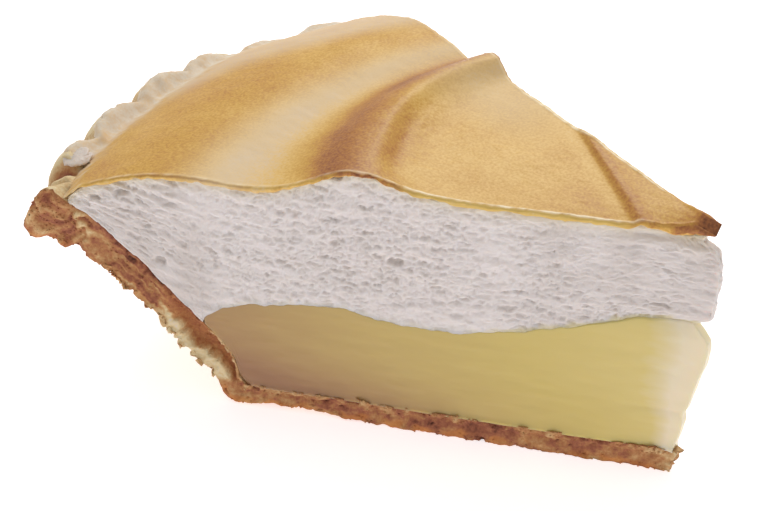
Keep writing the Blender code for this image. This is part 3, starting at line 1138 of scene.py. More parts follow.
@dataclass(frozen=True)
class BrokenPastry:
    """The pastry's cut face, layer by layer.

    Attributes:
        r: distance from the pie's centre.
        z: height above the table.
        along: distance along the section.
        outer: distance from the outside of the crust.
        inner: distance from the inside of the crust.
        side: 0 at the near cut and 1 at the far one.
        blister: where the base's one blister is, as r and z.
        flaky_layer: how thick the foot's pale, flaky outer layer is.
        foot_top: the height at which the foot turns into the wall.
    """

    r: Array
    z: Array
    along: Array
    outer: Array
    inner: Array
    side: Array
    blister: Pair = (61.7, 4.5)
    flaky_layer: float = 2.3
    foot_top: float = 19.0

    def waver(self, size: float | Sequence[float], seed: int, octaves: int = 1) -> Array:
        """Smooth random values over the face; the sizes run along it, across it and between cuts."""
        return noise(joined(self.along, self.outer, self.side * CUTS_APART), size, seed, octaves)

    def zones(self) -> tuple[Array, Array, Array, Array, Array]:
        """How much of the base, foot, wall, shoulder and rim there is at each place; they sum to 1.

        Returns:
            The share of each zone.
        """
        base = np.maximum(ramp(self.r, 86, 84), ramp(self.z, 6.2, 4.6))
        above, shoulder, rim = ramp(self.r, 97.5, 100.5), ramp(self.r, 106.5, 108.5), ramp(self.r, 113, 115)
        return base, (1 - base) * (1 - above), (1 - base) * above * (1 - shoulder), shoulder * (1 - rim), rim

    def blend(self, **patterns: Numbers) -> Array:
        """The sum of CrustZone's attributes over the zones, each times the pattern given for it.

        Args:
            patterns: a pattern, or a number, for each of CrustZone's attributes in the sum.

        Returns:
            One value for each place.
        """
        return sum(
            share * sum(getattr(zone, name) * pattern for name, pattern in patterns.items())
            for zone, share in zip((BASE, FOOT, WALL, SHOULDER, RIM), self.zones())
        )

    def within(self, depth: Array, thickness: float, softness: float) -> Array:
        """1 in the layer that reaches this far from an edge, 0 past it, with a wavering border."""
        border = thickness * (1 + 0.45 * self.waver(2.4, 71, 2))
        return 1 - smooth((depth - border) / softness + 0.5)

    def crevice(self) -> Array:
        """Where the flaky outer layer has parted from the crust beside the curd.

        Returns:
            From 0 to 1, for each place.
        """
        opening = smooth((self.outer - 2.4 - 0.3 * self.waver(2.0, 72)) / 0.3)
        opening *= smooth((self.inner - 0.75 - 0.2 * self.waver(1.6, 73)) / 0.3)
        return opening * self.zones()[1] * ramp(self.r, 97.5, 94.5)

    def holes(self) -> Array:
        """Small holes along the inside, and the cavity under the base's one blister, which are dug in and
        painted darker as shade.

        Returns:
            From 0 to 1, for each place.
        """
        base, foot, wall, shoulder, _ = self.zones()
        row = self.within(self.inner, 1.5, 0.4) * (wall + 0.7 * foot + 0.5 * shoulder)
        found = ramp(self.waver((0.8, 0.6, 1.0), 74), 0.2, 0.5) * row
        found = np.maximum(found, ramp(self.waver((1.4, 0.7, 1.0), 75), 0.72, 0.92) * base)
        middle_r, middle_z = self.blister
        reach = np.hypot((self.r - middle_r) / 1.3, (self.z - middle_z) / 0.55)
        return np.maximum(found, ramp(reach, 1.2, 0.7) * (self.side == 0))

    def bake(self) -> Array:
        """How brown the broken crust is: 0 is pale and 1 is dark brown.

        Returns:
            One value for each place.
        """
        base, foot, wall, shoulder, _ = self.zones()
        level = self.blend(
            tone=1.0,
            streaks=self.waver((7.0, 0.45, 1.0), 76, 2),
            lumps=self.waver((2.6, 1.8, 1.0), 77, 2),
            grain=self.waver(1.1, 70, 2),
            outer_tone=self.within(self.outer, 1.0, 0.5),
            inner_tone=self.within(self.inner, 1.25, 0.4),
        )
        along_base = 0.05 * bump(self.r - 50, 12.0) - 0.06 * bump(self.r - 80, 9.0)
        pale_crumbs = 0.14 * self.within(self.inner, 1.6, 0.6) * smooth(2 * self.waver(1.6, 83, 2))
        level += base * (along_base - pale_crumbs - 0.36 * np.exp(-self.r / 2.5))
        over_foot = ramp(self.z, self.foot_top, self.foot_top + 3)
        pale_lining = 0.4 * self.within(self.inner, 0.8, 0.3) * ramp(self.z, self.foot_top, self.foot_top - 3)
        level += foot * (0.48 * ramp(self.outer, self.flaky_layer, self.flaky_layer + 0.5) - pale_lining)
        level += 0.2 * (wall + foot * over_foot) * self.within(self.inner, 0.5, 0.25)
        level += 0.16 * shoulder * self.within(self.inner, 1.9, 0.8) - 0.3 * self.pale_lumps()
        # painted shade: the holes are painted darker
        return np.clip(level, 0.12, 1.0) + 0.25 * self.holes()

    def butter(self) -> Array:
        """How orange the face is, mostly along the bottom, where it is partly painted light from the bright
        card below.

        Returns:
            From 0 to 1, for each place.
        """
        base, foot, _, _, _ = self.zones()
        patchy = smooth(0.6 + 0.9 * self.waver((3.0, 2.0, 1.0), 84, 2))
        bottom = 0.5 * base * self.within(self.outer, 1.3, 1.0) * patchy
        gap = 0.12 * foot * ramp(self.outer, self.flaky_layer, self.flaky_layer + 0.5)
        return np.maximum(bottom, gap) + self.blend(butter=self.within(self.outer, 1.2, 1.0) * patchy)

    def pale_lumps(self) -> Array:
        """A chain of pale lumps where the side turns into the rim."""
        chain = bump(self.r - 113.2, 0.9) * ramp(self.z, 34.0, 35.0) * ramp(self.z, 42.5, 41.5)
        return chain * smooth(0.5 + 1.5 * self.waver(1.1, 78))

    def depth(self) -> Array:
        """How far the face is dug in behind the cut, in millimetres.

        Returns:
            One depth for each place.
        """
        base, _, wall, _, rim = self.zones()
        flare = np.clip(1 - self.outer / 3.5, 0, 1)
        dug = self.blend(depth=1.0, crumbs=self.waver(1.5, 79, 2), flare=-flare)
        dug -= base * self.within(self.inner, 1.6, 0.5) * (0.45 + 0.35 * self.waver(1.6, 83, 2))
        layered = 0.35 * self.waver((5.0, 0.6, 1.0), 76, 2) + 0.4 * self.within(self.inner, 1.2, 0.5)
        lumpy = 0.5 * self.waver(2.4, 77, 2) + 0.5 * self.waver(1.1, 70, 2)
        dug += 2.2 * self.crevice() + wall * layered + rim * lumpy
        return dug + 0.7 * self.holes() - 0.7 * self.pale_lumps()

    def crumbly(self) -> Array:
        """How many crumbs cling to each square metre: most in two rows along the base."""
        rows = self.within(self.outer, 0.9, 0.4) + 1.6 * self.within(self.inner, 1.2, 0.4)
        return 1.1e6 * self.zones()[0] * rows + self.blend(crumb_count=1.0)


@dataclass
class Pastry:
    """The shortcrust: flat base, sloping side and crimped rim, with its flakes and crumbs."""

    node: str = "pastry_crust"
    slot: str = "pastry"
    # outside and inside of the section, side by side, in millimetres
    outside: Points = (
        (0.0, 0.0), (80.0, 0.0), (86.4, 0.0), (88.1, 1.4), (88.5, 4.4), (90.4, 8.0), (96.4, 13.2),
        (100.6, 20.2), (106.8, 26.6), (112.2, 31.0), (114.8, 32.4), (119.6, 33.1), (120.8, 34.5),
        (122.4, 36.8), (122.4, 37.8),
    )
    inside: Points = (
        (0.0, 5.0), (80.0, 5.0), (83.0, 5.0), (84.0, 5.6), (84.5, 7.0), (85.4, 11.4), (87.6, 15.2),
        (95.5, 24.0), (103.5, 33.0), (108.5, 38.0), (112.0, 41.4), (114.7, 42.5), (116.0, 44.5),
        (117.2, 45.3), (118.2, 44.7),
    )
    side_from: int = 10  # the knot where the rim begins
    base_step: float = 0.42
    side_step: float = 0.32
    near_cut_stops: Points = ((0.0, 1.0), (0.012, 0.004))
    near_lobe_step: float = 0.0055
    columns_per_lobe: int = 11
    far_cut_stops: Points = ((0.98, 0.0145), (0.988, 0.008), (1.0, 0.004))
    layers: int = 16
    rounding_passes: int = 8
    end_bulge: Pair = (0.75, 0.66)
    arch_height: float = 1.3
    arch_radius: float = 74.0
    arch_width: float = 8.0
    arch_reach: float = 8.0  # how far behind the near cut it fades
    ragged_depth: float = 0.9
    ragged_reach: float = 1.6
    flake_size: float = 1.05
    crumb_size: float = 0.42
    scatter_seed: int = 4
    # flakes for each square metre: along the cuts, on the side and under the rim
    flake_counts: Triple = (1.2e6, 4e4, 2e4)
    crumb_depth: float = 0.25
    skin_relief: float = 0.2
    rim_rag: float = 0.3
    flap_radius: float = 118.0
    flap_height: float = 0.5
    pinch_depth: float = 1.3
    hollow_radius: float = 119.4
    hollow_turn: float = 0.088
    hollow_depth: float = 2.9
    hollow_spread: Pair = (2.8, 1.9)
    hollow_shading: float = 0.21  # painted shade in the pressed hollow, for each millimetre of depth
    finish: ShortcrustFinish = field(default_factory=ShortcrustFinish)

    def build(self) -> None:
        """Makes the body, then scatters its flakes and crumbs."""
        material = self.finish.material()
        body = self.body(material)
        hand_over(body, self.node)
        for name, tree, amount in (
            ("crust_flakes", self.flake_tree(), self.flake_size),
            ("crust_crumbs", self.crumb_tree(), self.crumb_size),
        ):
            scattered = add_object(name, body.data)
            values = {"Size": amount * MM, "Seed": self.scatter_seed, "Material": material}
            scattered.data = run_tree(tree, scattered, values)
            scattered.data.name = name
            hand_over(scattered, self.node)

    def lines(self) -> tuple[Array, Array, Array]:
        """The section's stations along the base, side and rim.

        Returns:
            The outside's (r, z), the inside's (r, z) and the knot number at each station.
        """
        outside, inside = np.array(self.outside), np.array(self.inside)
        spans = [np.hypot(*np.diff(line, axis=0).T) for line in (outside, inside)]
        knots = [(0.0, 1.0), (1.0, self.base_step / spans[0][0])]
        longest = np.max(spans, axis=0)
        knots += [(knot + 1.0, self.side_step / longest[knot]) for knot in range(1, len(longest))]
        at = stations(*knots)
        numbers = np.arange(len(outside))
        found = []
        for line in (outside, inside):
            path = np.stack([np.interp(at, numbers, line[:, axis]) for axis in (0, 1)], axis=-1)
            for _ in range(self.rounding_passes):
                path[1:-1] = (path[:-2] + 2 * path[1:-1] + path[2:]) / 4
            found.append(path)
        return found[0], found[1], at

    def turns(self) -> Array:
        """The body's columns: close together at the cuts and round the first lobe.

        Returns:
            The columns' turns.
        """
        first, pitch = SHAPE.first_crease, SHAPE.lobe_pitch
        near_lobe = [(first + pitch * lobe, self.near_lobe_step) for lobe in (0, 1)]
        lobes = [(first + pitch * lobe, pitch / self.columns_per_lobe) for lobe in (2, 3, 4, 5)]
        return stations(*self.near_cut_stops, *near_lobe, *lobes, *self.far_cut_stops)

    def body(self, material: Material) -> Piece:
        """The pastry's body, swept from cut to cut, crimped and roughened.

        Args:
            material: its finish.

        Returns:
            The body.
        """
        outside, inside, knot = self.lines()
        turns = self.turns()
        block = Block(len(knot) - 1, len(turns) - 1, self.layers)
        turn, share, at = turns[block.j], block.k / self.layers, knot[block.i]
        steps = np.hypot(*np.diff((outside + inside) / 2, axis=0).T)
        along = np.concatenate([[0.0], np.cumsum(steps)])[block.i]
        span = inside[block.i] - outside[block.i]
        width = np.hypot(*span.T)
        section = outside[block.i] + span * share[:, None]
        from_cut = SHAPE.from_cut(section[:, 0], turn)
        ending = ramp(at, self.side_from + 1, self.side_from + 4) * (1 - 1.3 * np.exp(-from_cut / 4))
        section += (4 * share * (1 - share) * ending)[:, None] * np.array(self.end_bulge)
        edge = np.exp(-from_cut / self.ragged_reach)
        side = np.round(turn)
        spots = joined(along, share * width, side * CUTS_APART + from_cut)
        bite = self.ragged_depth * smooth(0.35 + noise(spots, (1.2, 3.0, 2.0), 81, 2)) * edge * (1 - share)
        bite *= 0.25 + 0.75 * ramp(section[:, 0], 87, 89)
        section += (bite / width)[:, None] * span
        r, z = section[:, 0], section[:, 1]
        face = BrokenPastry(r, z, along, share * width, (1 - share) * width, side)
        arch = self.arch_height * bump(r - self.arch_radius, self.arch_width)
        z = z + arch * np.exp(-turn * SHAPE.angle * r / self.arch_reach) * (1 - share)
        ledge = ramp(r, 84, 80) * share**4 * np.exp(-from_cut / 1.0)
        z = z + ledge * (0.15 + 0.45 * face.waver(1.6, 83, 2)) + 0.6 * bump(r - face.blister[0], 1.0) * ledge
        crimp = ramp(at, self.side_from + 1, self.side_from + 2)
        rag = self.rim_rag * crimp * noise(SHAPE.place(r, turn, z), 2.4, 82, 2)
        pinch = bump(turn - 0.085, 0.03) + share**3 * np.exp(-from_cut / 4)
        r = r + rag * (1 - 0.5 * share) - self.pinch_depth * crimp * pinch
        reached = r + crimp * SHAPE.lobe_reach * SHAPE.lobe(turn)
        pressed = self.hollow(reached, turn) * crimp * share
        z = z + self.flap(reached, turn) * crimp * share**2 - pressed
        z = z - SHAPE.droop(r, turn)
        points = SHAPE.place(r, turn, z)
        points[:, 0] += (1.9 * share - 1.3 + 0.5 * face.waver(1.0, 85)) * np.exp(-r / 2.2)
        points -= (face.depth() * edge)[:, None] * SHAPE.outward(turn)
        reach = crimp[:, None] * SHAPE.place(1.0, turn, 0.0) * SHAPE.lobe_reach
        reach[:, 2] += crimp * share * SHAPE.lobe_rise
        values = {
            "turn": turn,
            "crimp": reach,
            "outward": np.where(block.is_cut[:, None], SHAPE.outward(turn), 0.0),
            "grain": joined(along, share * width, side * CUTS_APART),
            "bake": np.where(
                block.is_cut,
                face.bake(),
                # painted shade: the pressed hollow is painted darker by its depth
                self.crust_bake(at, share, turn, points) + self.hollow_shading * pressed,
            ),
            # orange along the bottom and outer layers, partly painted light from the bright card below
            "butter": np.where(block.is_cut, face.butter(), 0.0),
            "flaky": self.flaky(r, share, from_cut, crimp),
            "crumbly": np.where(block.is_cut, face.crumbly(), 0.0),
        }
        body = make_piece("pastry_body", points, block.quads, values)
        amounts = {
            "Lobe Pitch": SHAPE.lobe_pitch,
            "First Crease": SHAPE.first_crease,
            "Roundness": SHAPE.lobe_roundness,
            "Crumb Depth": self.crumb_depth * MM,
            "Skin Relief": self.skin_relief * MM,
            "Material": material,
        }
        return shape_piece(self.crimp_tree(), body, amounts)

    def flap(self, r: Array, turn: Array) -> Array:
        """Height of the thin flap left standing along the near cut, with a dip behind it."""
        rise = ramp(turn, 0.02, 0.01) - 1.2 * ramp(turn, 0.08, 0.06)
        return self.flap_height * bump(r - self.flap_radius, 1.2) * rise

    def hollow(self, r: Array, turn: Array) -> Array:
        """Depth of the hollow pressed into the rim's first lobe.

        Args:
            r: distance from the pie's centre.
            turn: 0 at the near cut and 1 at the far one.

        Returns:
            The depths.
        """
        half_length, half_width = self.hollow_spread
        aside = (turn - self.hollow_turn) * SHAPE.angle * r
        reach = np.hypot((r - self.hollow_radius) / half_length, aside / half_width)
        return self.hollow_depth * smooth(1.5 - reach)

    def crust_bake(self, at: Array, share: Array, turn: Array, points: Array) -> Array:
        """How brown the outside of the crust is: 0 is pale and 1 is dark brown.

        Args:
            at: the section's knot number.
            share: 0 at the outside of the crust and 1 at the inside.
            turn: 0 at the near cut and 1 at the far one.
            points: the places.

        Returns:
            One value for each place.
        """
        level = 0.34 + 0.14 * noise(points, 6.0, 11, 2) + 0.2 * (at < 2.5)
        rim = ramp(at, self.side_from + 1, self.side_from + 2.5)
        crease = 1 - SHAPE.lobe(turn)
        on_rim = 0.1 + 0.22 * (1 - share) + 0.2 * crease + 0.06 * noise(points, 2.0, 12, 2)
        return level * (1 - rim) + on_rim * rim

    def flaky(self, r: Array, share: Array, from_cut: Array, crimp: Array) -> Array:
        """How many flakes lift from each square metre.

        Args:
            r: distance from the pie's centre.
            share: 0 at the outside of the crust and 1 at the inside.
            from_cut: distance to the nearer cut.
            crimp: 0 below the rim and 1 on it.

        Returns:
            One number for each place.
        """
        outer_side = (share == 0) * ramp(r, 88, 90) * ramp(r, 112, 109)
        at_cuts, on_side, under_rim = self.flake_counts
        on_side = outer_side * (at_cuts * np.exp(-from_cut / 1.3) + on_side)
        return on_side + under_rim * crimp * (share < 0.25)

    @staticmethod
    def crimp_tree() -> Tree:
        """Pushes the rim out into lobes, and roughens the cut faces and the skin.

        Returns:
            The geometry tree.
        """
        numbers = ("Lobe Pitch", "First Crease", "Roundness", "Crumb Depth", "Skin Relief")
        tree, given = new_geometry_tree("crimped_pastry", dict.fromkeys(numbers, SocketKind.NUMBER))
        pitch, first_crease, roundness, crumb_depth, skin_relief = (given.outputs[title] for title in numbers)
        lobe = add_node(tree, NAMED_ATTRIBUTE, {"Name": "turn"}, data_type="FLOAT")
        ways = named("crimp", "grain", "outward")
        crimp, grain, outward = add_nodes(tree, NAMED_ATTRIBUTE, ways, data_type="FLOAT_VECTOR")
        for operation, *other in (
            ("SUBTRACT", first_crease),
            ("DIVIDE", pitch),
            ("MULTIPLY", math.pi),
            ("SINE",),
            ("ABSOLUTE",),
            ("POWER", roundness),
            ("MULTIPLY", MM),
        ):
            lobe = add_node(tree, "ShaderNodeMath", dict(enumerate([lobe, *other])), operation=operation)
        crumbly = {"Vector": grain, "Scale": 1.3, "Detail": 4.0, "Roughness": 0.7}
        crumbs = add_node(tree, "ShaderNodeTexNoise", crumbly)
        middle = {"Value": crumbs, "From Min": 0.3, "From Max": 0.7, "To Max": crumb_depth}
        depth = add_node(tree, "ShaderNodeMapRange", middle)
        inwards = add_node(tree, "ShaderNodeMath", {0: depth, 1: -1.0}, operation="MULTIPLY")
        place = add_node(tree, "GeometryNodeInputPosition")
        uneven = {"Vector": place, "Scale": 1 / (SKIN_LUMP * MM), "Detail": 3.0}
        rough = add_node(tree, "ShaderNodeTexNoise", uneven)
        centred = add_node(tree, "ShaderNodeMath", {0: rough, 1: 0.5}, operation="SUBTRACT")
        relief = add_node(tree, "ShaderNodeMath", {0: centred, 1: skin_relief}, operation="MULTIPLY")
        crimped = displace(tree, given.outputs["Geometry"], crimp, lobe)
        cut = displace(tree, crimped, outward, inwards)
        end_geometry_tree(tree, given, displace(tree, cut, add_node(tree, "GeometryNodeInputNormal"), relief))
        return tree

    @staticmethod
    def flake_tree() -> Tree:
        """Lays thin curled flakes where the body's "flaky" attribute asks for them.

        Returns:
            The geometry tree.
        """
        tree, given = new_geometry_tree("crust_flakes", SCATTER_INPUTS)
        plate = add_node(
            tree,
            "GeometryNodeMeshCube",
            {"Size": (2.0, 1.3, 0.28), "Vertices X": 4, "Vertices Y": 3, "Vertices Z": 2},
        )
        scatter(tree, given, plate, "flaky", tilt=0.45, ruggedness=0.5)
        return tree

    @staticmethod
    def crumb_tree() -> Tree:
        """Sticks crumbs where the body's "crumbly" attribute asks for them.

        Returns:
            The geometry tree.
        """
        tree, given = new_geometry_tree("crust_crumbs", SCATTER_INPUTS)
        ball = add_node(tree, "GeometryNodeMeshIcoSphere", {"Radius": 0.6, "Subdivisions": 2})
        scatter(tree, given, ball, "crumbly", tilt=3.1, ruggedness=0.45)
        return tree


# ---- curd --------------------------------------------------------------------------------


def interface_rag(r: Array, turn: Array) -> Array:
    """How far the curd's top strays from its even height, where the meringue was beaten in."""
    spots = SHAPE.place(r, turn, 0.0)
    return 0.42 * noise(spots, 2.2, 31, 2) + 0.3 * noise(spots, 7.0, 32)


@dataclass
class Curd:
    """The set lemon filling."""

    node: str = "lemon_filling"
    slot: str = "lemon_curd"
    nose: Points = (
        (5.3, -0.8), (9.5, 0.0), (12.5, 0.3), (14.4, -0.1), (16.0, 0.6), (23.9, 1.8), (26.7, 2.5),
        (30.6, 2.75), (32.4, 2.4), (33.8, 1.2), (35.1, -0.3), (36.0, -0.8),
    )
    nose_length: float = 10.0
    step: float = 0.5
    columns: int = 14
    layers: int = 52
    finish: LemonCurdFinish = field(default_factory=LemonCurdFinish)

    def build(self) -> None:
        """Makes the filling and its finish."""
        far = stations((0.0, 1.0), (SHAPE.filling_edge_radius, self.step))
        block = Block(len(far) - 1, self.columns, self.layers)
        r, turn, share = far[block.i], block.j / self.columns, block.k / self.layers
        low = SHAPE.pastry_inside(r + 0.1, turn) + 0.05
        top = np.maximum(SHAPE.filling_top(r, turn) + interface_rag(r, turn), low + 0.2)
        z = low + (top - low) * share
        points = SHAPE.place(r, turn, z)
        points[:, 0] += between(self.nose, z) * np.exp(-((r / self.nose_length) ** 2))
        wobble = 0.1 * noise(points, (6.0, 6.0, 1.5), 41, 3) * smooth((top - z) / 1.5)
        wobble += 0.45 * np.exp(-(z - low) / 0.7) * ramp(r, 84, 80)
        points += np.where(block.is_cut, wobble, 0.0)[:, None] * SHAPE.outward(turn)
        values = {"ripe": self.ripe(r, z)}
        piece = make_piece("lemon_curd_body", points, block.quads, values, self.finish.material())
        hand_over(piece, self.node)

    @staticmethod
    def ripe(r: Array, z: Array) -> Array:
        """How bright the curd is: 0 is brown against the pastry, 1 is the creamy tip.

        Args:
            r: distance from the pie's centre.
            z: height above the table.

        Returns:
            One value for each place.
        """
        level = 0.82 * (1 - r / 92) + 0.1 * ramp(z, 8, 22)
        level -= 0.16 * bump(z - 5, 4) * ramp(r, 25, 55) + 0.05 * bump(z - 5, 1.2) * ramp(r, 8, 28)
        return level + 0.34 * np.exp(-r / 3.6)


# ---- meringue ----------------------------------------------------------------------------


@dataclass(frozen=True)
class Void:
    """A large torn bubble in the near cut face: its middle, half its size and its depth."""

    r: float
    z: float
    half_length: float
    half_height: float
    depth: float = 0.8

    def share(self, r: Array, z: Array) -> Array:
        """0 outside the bubble and 1 in its middle.

        Args:
            r: distance from the pie's centre.
            z: height above the table.

        Returns:
            One value for each place.
        """
        torn_edge = 0.35 * noise(joined(r, z, 0.0), 1.1, 87, 2)
        reach = np.hypot((r - self.r) / self.half_length, (z - self.z) / self.half_height)
        return smooth(1.8 * (1 - reach - torn_edge))


@dataclass(frozen=True)
class Band:
    """A band of the skin's look that follows the spatula round the pie.

    Attributes:
        amount: how much it adds along its middle.
        middle: how far out its middle is, at the near cut and at the far one.
        width: how wide it is, at the near cut and at the far one.
        turns: the turn where it is still missing and the one where it is complete.
    """

    amount: float
    middle: Pair
    width: Pair
    turns: Pair = (-2.0, -1.0)

    def at(self, distance: Array, turn: Array) -> Array:
        """What it adds at each distance and turn."""
        offset = distance - across(self.middle, turn)
        return self.amount * bump(offset, across(self.width, turn)) * ramp(turn, *self.turns)


WIDTH = 50.0  # about the slice's middle width in millimetres, where a pattern runs from cut to cut
RIM_LENGTH = 94.0  # about the rim's length in millimetres, for the ragged edge over it


@dataclass
class Meringue:
    """The beaten egg white, its toasted skin and a dab of it left on the rim."""

    node: str = "meringue"
    slot: str = "meringue"
    skin_thickness: float = 0.9
    tip_thickening: float = 1.1
    foam_nose: Points = (
        (35.6, -0.9), (36.5, 0.7), (37.3, 2.3), (41.2, 2.4), (45.5, 2.7), (49.2, 2.2), (51.6, 1.3),
        (52.6, -1.2),
    )
    nose_length: float = 9.0
    foam_radius: float = 115.2
    foam_step: float = 0.27
    foam_columns: int = 10
    foam_layers: int = 100
    foam_edge_slope: float = 2.5  # how steeply its foot falls past the curd's edge
    sunk_in_curd: float = 0.1
    sunk_in_skin: float = 0.15
    pastry_gap: Pair = (0.05, 0.6)  # the least gap to the pastry, and the depth of the holes in it
    least_foam: float = 0.3
    sound_foot: float = 0.7  # how high its foot isn't torn
    flow_slope: float = 0.32
    flow_bend: Pair = (66.0, 100.0)  # where the way that it was spread turns down to the rim
    fold_depth: Pair = (0.2, 0.65)  # in fine foam and in coarse foam
    fold_size: Triple = (6.0, 1.5, 9.0)
    voids: tuple[Void, ...] = (
        Void(98.6, 32.5, 1.9, 1.1),
        Void(53.6, 39.5, 1.8, 1.0),
        Void(94.5, 50.3, 1.6, 0.8),
        Void(64.2, 56.2, 1.5, 0.8, 1.6),
        Void(104.6, 47.0, 2.4, 0.8),
        Void(110.0, 45.4, 1.5, 1.0),
    )
    skin_columns: int = 140
    skin_layers: int = 6
    lip_reach: float = 0.4
    pore_size: Triple = (2.6, 1.05, 1.5)
    pore_depth: float = 0.62
    skin_stops: Points = ((0.0, 1.0), (46.0, 0.6), (72.0, 0.38), (108.0, 0.6), (114.2, 0.45))
    skin_near_cuts: tuple[float, ...] = (0.0, 0.003, 0.007, 0.012)
    skin_stretch_from: float = 108.0  # past here it is stretched out to its uneven edge
    rim_thinning: float = 0.75
    tip_length: float = 3.0
    film_edge: Points = ((0.0, 112.0), (0.33, 109.0), (0.67, 95.0), (1.0, 82.0))
    # painted light: a whitish highlight in the valley, and paler colour on the inner flanks that lie in shade
    # towards the far cut
    painted_light_bands: tuple[Band, ...] = (
        Band(0.3, (51.0, 51.0), (7.0, 7.0), (0.55, 0.85)),
        Band(0.15, (63.0, 63.0), (4.5, 4.5), (0.55, 0.85)),
        Band(0.42, (86.0, 75.0), (4.5, 2.6)),
    )
    # browning, with painted light: the paler band at 77.5 mm is painted highlight, the paler valley is partly
    # less browned and partly painted sheen, and the band at 50 mm towards the far cut is painted light on a
    # flank in shade
    toast_and_light_bands: tuple[Band, ...] = (
        Band(0.05, (57.0, 57.0), (2.2, 2.2), (0.6, 0.4)),
        Band(-0.1, (77.5, 77.5), (4.0, 4.0), (0.3, 0.05)),
        Band(-0.11, (44.0, 44.0), (13.0, 13.0)),
        Band(-0.22, (83.5, 74.0), (5.2, 2.6)),
        Band(-0.05, (50.0, 50.0), (6.0, 6.0), (0.7, 1.0)),
    )
    # browning along the crest; the paler band inside it towards the far cut is painted light on a flank in
    # shade
    crest_toast_and_light_bands: tuple[Band, ...] = (
        Band(0.05, (-1.5, -1.5), (3.4, 3.4)),
        Band(-0.19, (-2.6, -2.6), (2.6, 2.6), (0.4, 0.65)),
    )
    groove_bands: tuple[Band, ...] = (Band(0.05, (0.0, 0.0), (0.9, 0.9), (0.75, 0.55)),)
    dab_radius: float = 118.2
    dab_turn: float = 0.122
    dab_size: Triple = (2.3, 3.0, 0.8)
    dab_cells: int = 16
    foam_finish: EggWhiteFoamFinish = field(default_factory=EggWhiteFoamFinish)
    skin_finish: ToastedMeringueFinish = field(default_factory=ToastedMeringueFinish)
    dab_finish: EggWhiteFoamFinish = field(
        default_factory=lambda: EggWhiteFoamFinish(name="glossy_egg_white", wall="#D8CABD", roughness=0.5)
    )

    def build(self) -> None:
        """Makes the foam, the skin over it and the dab on the rim."""
        for piece in (self.foam(), self.skin(), self.dab()):
            hand_over(piece, self.node)

    def edge_radius(self, turn: Array) -> Array:
        """How far out the skin spreads: over the rim's lobes, but not over the hollow.

        Args:
            turn: 0 at the near cut and 1 at the far one.

        Returns:
            The edge's distance from the pie's centre.
        """
        over = ramp(turn, 0.108, 0.124)
        top = SHAPE.rim_top_radius + SHAPE.lobe_reach * SHAPE.lobe(turn)
        spots = joined(turn * RIM_LENGTH, 0.0, 0.0)
        edge = 116.0 + 0.4 * noise(spots, 1.4, 59, 2)
        return edge * (1 - over) + (top + 0.9 + 0.7 * noise(spots, 2.2, 55, 2)) * over

    def top(self, r: Array, turn: Array) -> Array:
        """The skin's upper surface, laid over the rim where it reaches it.

        Args:
            r: distance from the pie's centre.
            turn: 0 at the near cut and 1 at the far one.

        Returns:
            The heights.
        """
        open_top = SHAPE.meringue_top(r, turn)
        spots = SHAPE.place(r, turn, 0.0)
        wrinkle = 0.45 * noise(spots, 2.4, 54, 3) + 0.15 * noise(spots, 1.3, 67)
        edge = self.edge_radius(turn)
        clear = 0.5 - 0.4 * ramp(r, edge - 1.5, edge)
        on_rim = SHAPE.rim_top(r, turn) + clear + np.maximum(wrinkle, -0.2) * ramp(r, 113, 116)
        blend = 0.9
        top = np.maximum(open_top, on_rim) + blend * np.exp(-np.abs(open_top - on_rim) / blend) / 3
        tucked = 1.4 * ramp(r, 112, 116) * np.exp(-turn / 0.08)
        return np.where(r > 106, top, open_top) - tucked

    def thickness(self, r: Array) -> Array:
        """How thick the toasted skin is."""
        return self.skin_thickness + self.tip_thickening * bump(r - 3.0, 2.6)

    def foam_heights(self, r: Array, turn: Array) -> tuple[Array, Array]:
        """The foam's foot, on the curd or the pastry, and its top in the skin.

        Args:
            r: distance from the pie's centre.
            turn: 0 at the near cut and 1 at the far one.

        Returns:
            The height of the foot and the height of the top.
        """
        past_curd = np.clip(r - SHAPE.filling_edge_radius, 0, None)
        on_curd = SHAPE.filling_top(r, turn) + interface_rag(r, turn) - self.foam_edge_slope * past_curd
        rim_from = SHAPE.side_inside[-1][0]
        on_pastry = np.where(r > rim_from, SHAPE.rim_top(r, turn), SHAPE.pastry_inside(r, turn))
        least, depth = self.pastry_gap
        gap = least + depth * np.clip(noise(joined(r, turn * WIDTH, 0.0), 1.3, 86, 2), 0, 1)
        low = np.maximum(on_curd - self.sunk_in_curd, on_pastry + gap)
        return low, self.top(r, turn) - self.thickness(r) + self.sunk_in_skin

    def flow(self, r: Array, turn: Array, z: Array) -> Array:
        """Places along, across and into the way that the foam was spread.

        Args:
            r: distance from the pie's centre.
            turn: 0 at the near cut and 1 at the far one.
            z: height above the table.

        Returns:
            The places.
        """
        start, end = self.flow_bend
        bending = np.clip(r - start, 0, None) ** 2 / (2 * (end - start))
        fall = self.flow_slope * np.where(r < end, bending, r - (start + end) / 2)
        return joined(r, z - fall, turn * WIDTH)

    @staticmethod
    def shade(r: Array, z: Array, points: Array) -> Array:
        """Painted shade on the foam: darker beige in the bend over the pastry's side, and towards the tip."""
        deep = 0.8 * ramp(r, 82, 94) * ramp(z, 54, 36) + 0.5 * ramp(r, 40, 24)
        return deep * (0.8 + 0.4 * noise(points, 6.0, 60, 2))

